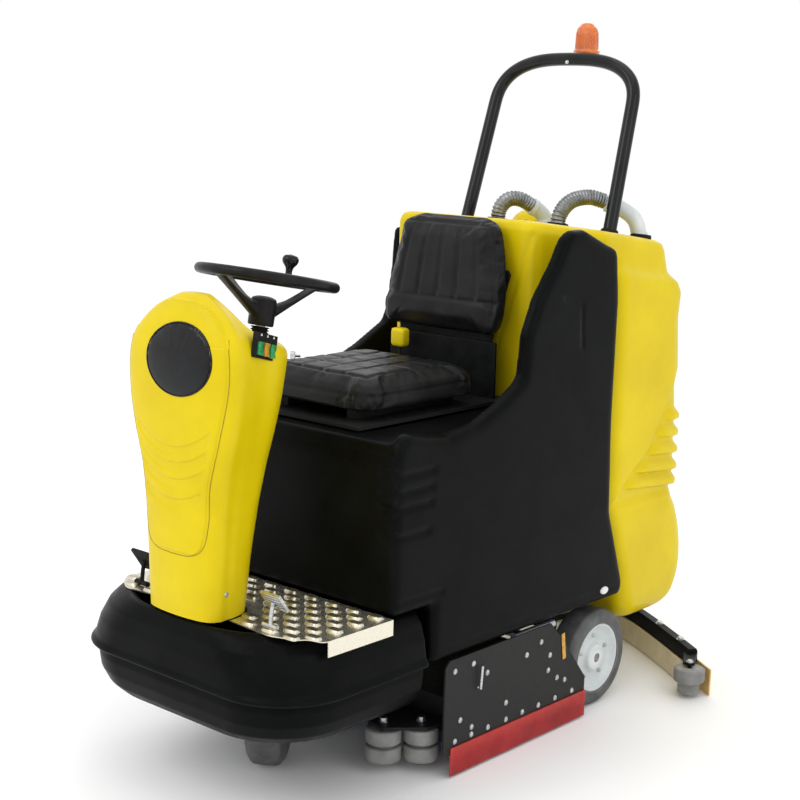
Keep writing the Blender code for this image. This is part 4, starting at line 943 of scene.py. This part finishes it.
def make_body_fittings():
    """Drain plug on the near side and the bracket behind the seat."""
    plug = rounded_profile([(0, 0.004), (0.014, 0.004), (0.0165, 0.002), (0.017, -0.004), (0, -0.004)],
        0.001)
    shape = lathe(plug, (1, 0, 0), (0, 0, 0), 48)
    flat = Matrix.Translation((0.3752, 0.307, 0.333)) @ Matrix.Diagonal((1, 1, 0.62, 1))
    bmesh.ops.transform(shape, matrix=flat, verts=shape.verts)
    add("drain_plug", shape, "chassis", WHITE)
    add("seat_bracket", slab((0.0, 0.0485, 0.93), (0.36, 0.009, 0.15)), "chassis", BLACK, bevel=0.003)


def make_bar():
    """Roll bar, its beacon plate and the boots at its feet."""
    foot, bend = Vector((0.249, 0.4255, 1.24)), Vector((0.235, 0.5325, 1.607))
    lean = (bend.y - foot.y) / (bend.z - foot.z)
    points = [foot.lerp(bend, t) for t in np.linspace(0, 1, 18)]
    for step in range(1, 60):
        angle = pi * step / 60
        across = copysign(abs(cos(angle)) ** 0.72, cos(angle))
        z = bend.z + 0.13 * sin(angle) ** 0.82
        points.append(Vector((bend.x * across, bend.y + lean * (z - bend.z), z)))
    points += [Vector((-p.x, p.y, p.z)) for p in [foot.lerp(bend, t) for t in np.linspace(1, 0, 18)]]
    for _ in range(3):
        points = [points[0], *[(a + b * 2 + c) / 4 for a, b, c in zip(points, points[1:], points[2:])],
            points[-1]]
    bar = tube(points, 0.0184, 36)
    plate = prism([(-0.028, 0.566), (0.028, 0.566), (0.03, 0.64), (0.02, 0.676), (-0.02, 0.676),
        (-0.03, 0.64)], "Z", 1.7282, 1.733)
    head = bolt((0.0, 0.5525, 1.7275), (0, -1, 0.25), 0.0042, 0.005)
    add("safety_bar", merged(bar, plate), "chassis", BLACK_GLOSS, "roll_bar", 45)
    add("bar_bolt", head, "chassis", STEEL)
    for side, sign in SIDES:
        axis = Vector((sign * (bend.x - foot.x), bend.y - foot.y, bend.z - foot.z)).normalized()
        place = Vector((sign * foot.x, foot.y, foot.z)) + axis * ((tank_top(foot.y) - foot.z) + 0.008)
        ring = rounded_profile([(0.0188, -0.012), (0.0245, -0.012), (0.024, -0.002), (0.0215, 0.001),
            (0.0188, 0.001)], 0.002)
        add(f"bar_boot_{side}", lathe(ring, axis, place, 48, True), "chassis", RUBBER)


def make_beacon():
    """Beacon base and the fluted lens."""
    base = rounded_profile([(0, 0), (0.0398, 0), (0.0398, 0.009), (0.0372, 0.013), (0.0365, 0.0198),
        (0, 0.0198)], 0.0015)
    add("beacon_socket", lathe(base, UP, (0, 0.644, 1.7334), 72), "chassis", RUBBER, "beacon_base", 40)
    lens = rounded_profile([(0, 0), (0.0378, 0), (0.0378, 0.008), (0.0335, 0.0115), (0.0318, 0.056),
        (0.0275, 0.071), (0.015, 0.084), (0, 0.0882)], 0.004, 5)

    def flutes(angle, radius, height):
        return -0.0009 + 0.0009 * cos(angle * 26) if 0.013 < height < 0.064 else 0.0

    fine = []
    for (r0, h0), (r1, h1) in zip(lens, lens[1:]):
        parts = max(1, int(abs(h1 - h0) / 0.003))
        fine += [(r0 + (r1 - r0) * k / parts, h0 + (h1 - h0) * k / parts) for k in range(parts)]
    fine.append(lens[-1])
    add("beacon_dome", lathe(fine, UP, (0, 0.644, 1.7537), 208, False, flutes), "chassis", AMBER,
        "beacon_lens", 70)


# Seat
def swell(item, cap, held):
    """Blow a closed pad up as cloth, with a cap on how far any point moves."""
    start = coords(item.data).copy()
    group = item.vertex_groups.new(name="held")
    group.add([int(k) for k in np.nonzero(held)[0]], 1.0, "REPLACE")
    cloth = item.modifiers.new("swell", "CLOTH")
    settings = cloth.settings
    settings.quality = 5
    settings.mass = 0.3
    settings.use_pressure = True
    settings.uniform_pressure_force = FOAM_PRESSURE
    settings.tension_stiffness = 12
    settings.compression_stiffness = 12
    settings.shear_stiffness = 6
    settings.bending_stiffness = 0.6
    settings.vertex_group_mass = "held"
    settings.effector_weights.gravity = 0.0
    cloth.collision_settings.use_collision = False
    for step in range(1, CLOTH_STEPS + 1):
        SCENE.frame_set(step)
    graph = bpy.context.evaluated_depsgraph_get()
    result = coords(item.evaluated_get(graph).data).copy()
    item.modifiers.remove(cloth)
    item.vertex_groups.clear()
    shift = result - start
    length = np.linalg.norm(shift, axis=1)
    length[length < 1e-9] = 1e-9
    place_points(item.data, start + shift * (cap * np.tanh(length / cap) / length)[:, None])
    SCENE.frame_set(1)


def make_cushion():
    """Cushion as a swollen vinyl pad with a piped edge and sewn channels."""
    rings = []
    for z, shrink in ((0.886, 0.02), (0.892, 0.01), (0.905, 0.007), (0.93, 0.008), (0.944, 0.016),
            (0.952, 0.034), (0.954, 0.06)):
        outline = rounded_outline(0.212 - shrink, -0.47 + shrink, -0.032 - shrink, 0.058, 0.048, 8)
        rings.append([(x, y, z) for x, y in outline])
    cushion = remeshed("seat_pad", loft(rings), 0.0055, 4)
    start = coords(cushion.data)
    swell(cushion, 0.014, start[:, 2] < 0.889)
    points, facing = coords(cushion.data), normals(cushion.data)
    x, y, z = points.T
    top = ease(facing[:, 2], 0.2, 0.8)
    move = np.zeros(len(points))
    move -= 0.003 * groove(z - 0.922, 0.0035) * (np.abs(facing[:, 2]) < 0.75)
    rim = np.maximum(np.abs(x) / 0.15, np.abs(y + 0.251) / 0.158)
    move -= 0.006 * groove((rim - 1) * 0.155, 0.0045) * top
    inner = top * (rim < 1.0)
    for line in (-0.075, 0.0, 0.075):
        move -= 0.0055 * groove(x - line, 0.0045) * inner
    for line in (-0.33, -0.251, -0.172):
        move -= 0.003 * groove(y - line, 0.0045) * inner
    move += 0.0008 * np.sin(x * 61 + 2.0 * np.sin(y * 47)) * np.sin(y * 53 + 1.3 * np.sin(x * 39)) * top
    place_points(cushion.data, points + facing * move[:, None])
    dress(cushion, "seat", VINYL, "seat_cushion", 80, subdivide=1)


def make_backrest():
    """Backrest pad with upright channels, and the shell behind it."""
    rows = np.array([(1.019, 0.168), (1.03, 0.192), (1.08, 0.203), (1.15, 0.197), (1.23, 0.182),
        (1.295, 0.164), (1.311, 0.148), (1.32, 0.12)])
    rings = []
    for index, (z, half) in enumerate(smooth_levels(rows, 36, 1)):
        end = max(0.0, 1 - min(index, 35 - index) / 3)
        front = SEAT_BACK_LEAN * (z - SEAT_BACK_FOOT) + 0.009 + 0.014 * end ** 2
        rings.append([(a, b, z) for a, b in rounded_outline(half - 0.004, front,
            front + 0.044 - 0.018 * end ** 2, 0.017, 0.013, 5)])
    back = remeshed("seat_rest", loft(rings), 0.0055, 4)
    start = coords(back.data)
    swell(back, 0.012, start[:, 1] > SEAT_BACK_LEAN * (start[:, 2] - SEAT_BACK_FOOT) + 0.05)
    points, facing = coords(back.data), normals(back.data)
    x, y, z = points.T
    front = ease(-facing[:, 1], 0.2, 0.8)
    half = np.interp(z, rows[:, 0], rows[:, 1])
    move = np.zeros(len(points))
    upper = ease(z, 1.105, 1.125) * ease(1.3 - z, 0.0, 0.02)
    for share in (-0.64, -0.32, 0.0, 0.32, 0.64):
        move -= 0.006 * groove(x - share * half, 0.005) * front * upper
    for level in (1.302, 1.108):
        move -= 0.0045 * groove(z - level, 0.0045) * front
    edge = np.abs(x) / np.maximum(half, 0.05)
    move -= 0.004 * groove((edge - 0.9) * half, 0.0045) * front
    move += 0.0008 * np.sin(x * 57 + 2.0 * np.sin(z * 43)) * np.sin(z * 51 + x * 20) * front
    place_points(back.data, points + facing * move[:, None])
    dress(back, "seat", VINYL, "seat_back", 80, subdivide=1)

    outline = [(-0.138, 0.93), (0.138, 0.93), (0.15, 0.975), (0.195, 1.178), (0.187, 1.19), (-0.187, 1.19),
        (-0.195, 1.178), (-0.15, 0.975)]
    rings = []
    for offset in (0.0525, 0.0585):
        rings.append([(x, SEAT_BACK_LEAN * (z - SEAT_BACK_FOOT) + offset, z) for x, z in outline])
    add("seat_shell", loft(rings), "seat", BLACK, bevel=0.002)


def make_release_lever():
    """Yellow grip on a thin rod."""
    foot = Vector((-0.11, 0.004, 0.866))
    rod = lathe(rounded_profile([(0, 0), (0.004, 0), (0.004, 0.106), (0, 0.106)], 0.001), UP, foot, 20)
    barrel = lathe([(0, -0.012), (0.0055, -0.012), (0.0055, 0.012), (0, 0.012)], (0, 1, 0), foot, 20)
    rings = []
    for z, a, b in ((0.1, 0.014, 0.01), (0.103, 0.02, 0.0145), (0.11, 0.0225, 0.0165),
            (0.14, 0.0225, 0.0165), (0.147, 0.0205, 0.015), (0.15, 0.014, 0.01)):
        rings.append([foot + Vector((x, y, z)) for x, y in rounded_box_ring(28, a, b, 0.45)])
    add("release_handle", loft(rings), "release_lever", YELLOW, "seat_release_lever", 50)
    add("release_rod", merged(rod, barrel), "release_lever", BLACK_STEEL, sharp=40)


# Deck and squeegee
def make_guide_rollers():
    """Double guide rollers and their nuts, a pair on each side of the deck."""
    spots = {"outer": (0.296, -0.342), "inner": (0.236, -0.411)}
    outline = rounded_profile([(0.0066, 0.0305), (0.041, 0.0305), (0.0443, 0.034), (0.0443, 0.066),
        (0.041, 0.0685), (0.0305, 0.069), (0.0305, 0.075), (0.041, 0.076), (0.0443, 0.079), (0.0443, 0.109),
        (0.041, 0.1128), (0.0066, 0.1128)], 0.0022)
    for side, sign in SIDES:
        for place, (x, y) in spots.items():
            body = f"guide_{side}_{place}"
            add(f"roller_{side}_{place}", lathe(outline, UP, (sign * x, y, 0), 64, True), body, ROLLER,
                f"guide_roller_{side}_{place}", 50)
            nut = lathe(rounded_profile([(0, 0.126), (0.013, 0.126), (0.013, 0.129), (0.0095, 0.129),
                (0.0095, 0.1375), (0, 0.1375)], 0.0005), UP, (sign * x, y, 0), 24)
            add(f"roller_nut_{side}_{place}", nut, "deck", STEEL)


def make_brushes():
    """Two cylindrical brushes with a tufted surface."""
    for name, y in (("front", -0.165), ("rear", 0.03)):
        profile = [(0, -0.3768), (0.012, -0.3768), (0.012, -0.362), (0.03, -0.362)]
        profile += [(0.0735, -0.361 + 0.722 * k / 190) for k in range(191)]
        profile += [(0.03, 0.362), (0.012, 0.362), (0.012, 0.3768), (0, 0.3768)]

        def tufts(angle, radius, height):
            if radius < 0.05:
                return 0.0
            wave = sin(angle * 26 + height * 240) * sin(height * 420)
            return 0.0014 * wave - 0.0008 + 0.0006 * sin(angle * 61 + height * 900)

        add(f"brush_roll_{name}", lathe(profile, (1, 0, 0), (0, y, 0.078), 120, False, tufts),
            f"brush_{name}_roll", BRISTLE, f"brush_{name}", 70)


def make_skirts():
    """Red side skirts, and the bolts of the deck's side plates."""
    for side, sign in SIDES:
        rings = []
        for y in np.linspace(-0.3355, 0.2225, 90):
            wave = 0.0003 * sin(y * 38)
            ring = []
            for x, z in ((0.384, 0.0775), (0.3876, 0.0775), (0.3878, 0.04), (0.3878, 0.01), (0.3872, 0.0066),
                    (0.3846, 0.0066), (0.384, 0.01), (0.3839, 0.04)):
                ring.append((sign * (x + wave * (0.0775 - z) / 0.07), y, z))
            rings.append(ring)
        add(f"skirt_strip_{side}", loft(rings), "deck", RED, f"skirt_{side}", 40)
        skirt_row = [(y, 0.0905) for y in (-0.318, -0.255, -0.19, -0.118, -0.05, 0.018, 0.09, 0.165)]
        plate_spots = ((-0.325, 0.27), (-0.255, 0.272), (-0.2, 0.235), (-0.3, 0.14), (-0.255, 0.11),
            (-0.12, 0.135), (0.02, 0.26), (0.06, 0.215), (0.055, 0.175), (0.095, 0.145), (-0.04, 0.24),
            (0.13, 0.13))
        spots = (*skirt_row, *plate_spots)
        heads = [bolt((sign * 0.3833, y, z), (sign, 0, 0), 0.0058, 0.0038) for y, z in spots]
        add(f"deck_bolts_{side}", merged(*heads), "deck", STEEL)


def make_deck_fittings():
    """Pin, tag and plated bar at the near side of the deck."""
    pin = tube([(0.3845, -0.235, 0.205), (0.392, -0.235, 0.205), (0.392, -0.23, 0.262)], 0.0038, 16)
    tags = slab((0.385, 0.118, 0.225), (0.0016, 0.014, 0.072), Matrix.Rotation(radians(8), 4, "X"))
    add("deck_pin", pin, "deck", STEEL)
    add("deck_tag", tags, "deck", ORANGE, bevel=0.0005)
    link = tube([(0.3555, -0.06, 0.284), (0.3555, 0.105, 0.284)], 0.0105, 24)
    add("deck_link", link, "chassis", BLUE_STEEL)


def squeegee_point(x, offset):
    """Plan point on the squeegee's line, moved along its normal by an offset."""
    root = hypot(0.09, 0.7 * x)
    slope = -0.7 ** 2 * x / root
    normal = Vector((-slope, 1.0)).normalized()
    return Vector((x, 0.88 - (root - 0.09))) + normal * offset


def squeegee_strip(section, half, steps=80):
    """Strip with a given (offset, z) section along the squeegee's line."""
    rings = []
    for step in range(steps + 1):
        t = 2 * step / steps - 1
        x = half * copysign(abs(t) ** 1.15, t)
        rings.append([(*squeegee_point(x, offset), z) for offset, z in section])
    return loft(rings)


def make_squeegee():
    """Swept frame, its two blades, clamps and end rollers."""
    section = [(-0.015, 0.0705), (0.015, 0.0705), (0.0153, 0.075), (0.0153, 0.103), (0.012, 0.1115),
        (-0.012, 0.1115), (-0.0153, 0.103), (-0.0153, 0.075)]
    bar = squeegee_strip(section, 0.4695)
    strut = prism([(-0.035, 0.476), (0.035, 0.476), (0.1, 0.858), (-0.1, 0.858)], "Z", 0.1085, 0.1262)
    tongues = []
    pieces = []
    for side, sign in SIDES:
        tongues.append(prism([(sign * 0.49, 0.545), (sign * 0.518, 0.56), (sign * 0.47, 0.655),
            (sign * 0.43, 0.65)], "Z", 0.0923, 0.0998))
        tongues.append(lathe([(0, 0.014), (0.006, 0.014), (0.006, 0.1035), (0, 0.1035)], UP,
            (sign * 0.503, 0.56, 0), 20))
        outline = rounded_profile([(0.0066, 0.0125), (0.03, 0.0125), (0.0308, 0.015), (0.0308, 0.044),
            (0.04, 0.0455), (0.0433, 0.049), (0.0433, 0.079), (0.0395, 0.0828), (0.0066, 0.0828)], 0.0025)
        add(f"end_roller_{side}", lathe(outline, UP, (sign * 0.503, 0.56, 0), 64, True),
            f"squeegee_wheel_{side}", ROLLER, f"squeegee_roller_{side}", 50)
        pieces.append(bolt((sign * 0.503, 0.56, 0.1), UP, 0.008, 0.006))
    add("squeegee_bar", merged(bar, strut, *tongues), "squeegee", BLACK, "squeegee_frame", 30, 0.0012)
    for x in (-0.4, -0.28, -0.16, 0.16, 0.28, 0.4):
        place = squeegee_point(x, 0.0)
        pieces.append(bolt((place.x, place.y, 0.111), UP, 0.009, 0.008))
    add("squeegee_knobs", merged(*pieces), "squeegee", STEEL)
    blade = [(-0.0206, 0.0028), (-0.017, 0.0022), (-0.017, 0.0695), (-0.0206, 0.0695)]
    add("blade_inner", squeegee_strip(blade, 0.4515), "squeegee", CREAM, "squeegee_blade_front", 30, 0.0005)
    blade = [(0.017, 0.0012), (0.0212, 0.002), (0.0216, 0.045), (0.0216, 0.0775), (0.017, 0.0775)]
    add("blade_outer", squeegee_strip(blade, 0.5355), "squeegee", TAN, "squeegee_blade_rear", 30, 0.0005)
    clamp = [(0.0156, 0.08), (0.0176, 0.08), (0.0176, 0.095), (0.0156, 0.095)]
    add("blade_clamp", squeegee_strip(clamp, 0.465), "squeegee", STEEL, sharp=30, bevel=0.0004)


def make_pedals():
    """Foot pads and arms."""
    for name, sign, height, look in (("brake", 1, 0.05, STEEL), ("accelerator", -1, 0.062, RUBBER)):
        foot = Vector((0.007 + sign * 0.222, -0.79, 0.4565))
        turn = Matrix.Rotation(radians(35), 4, "X")
        pin = lathe([(0, -0.022), (0.006, -0.022), (0.006, 0.022), (0, 0.022)], (1, 0, 0), foot, 24)
        arm = tube([foot, foot + Vector((0, 0.003, 0.03)), foot + Vector((0, 0.008, 0.052))], 0.005, 16)
        add(f"{name}_arm", merged(pin, arm), name, look)
        pad = slab((foot.x, -0.778, 0.51), (0.062, 0.0085, height), turn)
        ribs = []
        for k in range(5):
            ribs.append(slab(Vector((foot.x, -0.778, 0.51)) + turn
                @ Vector((0, -0.0046, (k - 2) * height * 0.17)), (0.054, 0.0016, 0.0035), turn))
        add(f"{name}_pad", merged(pad, *ribs), name, look, f"{name}_pedal", 30, 0.0008)


def keep_cad():
    """Finish the CAD nodes that stay as they are."""
    looks = {"chassis_frame": BLACK_STEEL, "rear_axle": STEEL, "battery_pack": BATTERY,
        "vacuum_motor": STEEL, "control_panel": RUBBER, "column_post": BLACK_STEEL, "steering_shaft": STEEL,
        "steering_fork": BLACK_STEEL, "seat_plate": BLACK_STEEL, "deck_frame": BLACK_STEEL,
        "deck_side_left": BLACK_STEEL, "deck_side_right": BLACK_STEEL, "squeegee_arm": BLACK_STEEL}
    for name, look in looks.items():
        item = NODES[name]
        if not item.material_slots:
            item.data.materials.append(look)
        for slot in item.material_slots:
            slot.material = look
        round_edges(item, 0.0008, 35)


# Stage
def make_stage():
    """Pale floor and soft lamps."""
    shape = bmesh.new()
    bmesh.ops.create_grid(shape, x_segments=1, y_segments=1, size=30.0)
    floor = linked("floor", mesh_of("floor", shape))
    floor.data.materials.append(finish_look("floor_paint", (0.95, 0.95, 0.95), (0.97, 0.97, 0.97),
        (0.6, 0.8), 2, 60, 0.02, 0.0002))
    world = bpy.data.worlds.new("studio")
    world.use_nodes = True
    world.node_tree.nodes["Background"].inputs["Color"].default_value = (1.0, 1.0, 1.0, 1)
    world.node_tree.nodes["Background"].inputs["Strength"].default_value = 1.0
    SCENE.world = world
    for name, place, size, power in (("key", (-1.5, -4.5, 4.8), 3.2, 75), ("side", (5.0, -0.5, 3.2), 3.0,
            30), ("back", (-2.0, 4.5, 3.8), 3.0, 30), ("top", (0.4, 0.0, 5.5), 3.5, 25)):
        lamp = bpy.data.lights.new(name, "AREA")
        lamp.size = size
        lamp.energy = power
        item = linked(name, lamp)
        item.location = place
        item.rotation_euler = (Vector((0, 0, 0.8)) - Vector(place)).to_track_quat("-Z", "Y").to_euler()
    sun = bpy.data.lights.new("fill", "SUN")
    sun.energy = 0.28
    sun.angle = radians(120)
    linked("fill", sun).rotation_euler = (radians(28), radians(-14), 0)


def make_camera():
    """Camera fitted to the view: azimuth, pitch, roll and focal length."""
    lens = bpy.data.cameras.new("camera")
    camera = linked("camera", lens)
    SCENE.camera = camera
    azimuth, pitch, roll = map(radians, CAMERA_ANGLES)
    forward = Vector((-sin(azimuth) * cos(pitch), cos(azimuth) * cos(pitch), -sin(pitch)))
    right = Vector((cos(azimuth), sin(azimuth), 0))
    up = right.cross(forward)
    across = cos(roll) * right + sin(roll) * up
    above = -sin(roll) * right + cos(roll) * up
    place = Matrix((across, above, -forward)).transposed().to_4x4()
    place.translation = CAMERA_PLACE
    camera.matrix_world = place
    lens.sensor_width = 36
    lens.lens = CAMERA_FOCAL_LENGTH
    lens.clip_end = 200
    SCENE.view_settings.view_transform = "Standard"


for step in (make_stage, make_camera, make_column, make_badge, make_switches, make_boot_and_key,
             make_steering, make_base, make_tread_plate, make_rear_wheels, make_drive_wheel, make_tank,
             make_lid, make_hoses, make_body, make_body_fittings, make_bar, make_beacon, make_cushion,
             make_backrest, make_release_lever, make_guide_rollers, make_brushes, make_skirts,
             make_deck_fittings, make_squeegee, make_pedals, keep_cad):
    step()
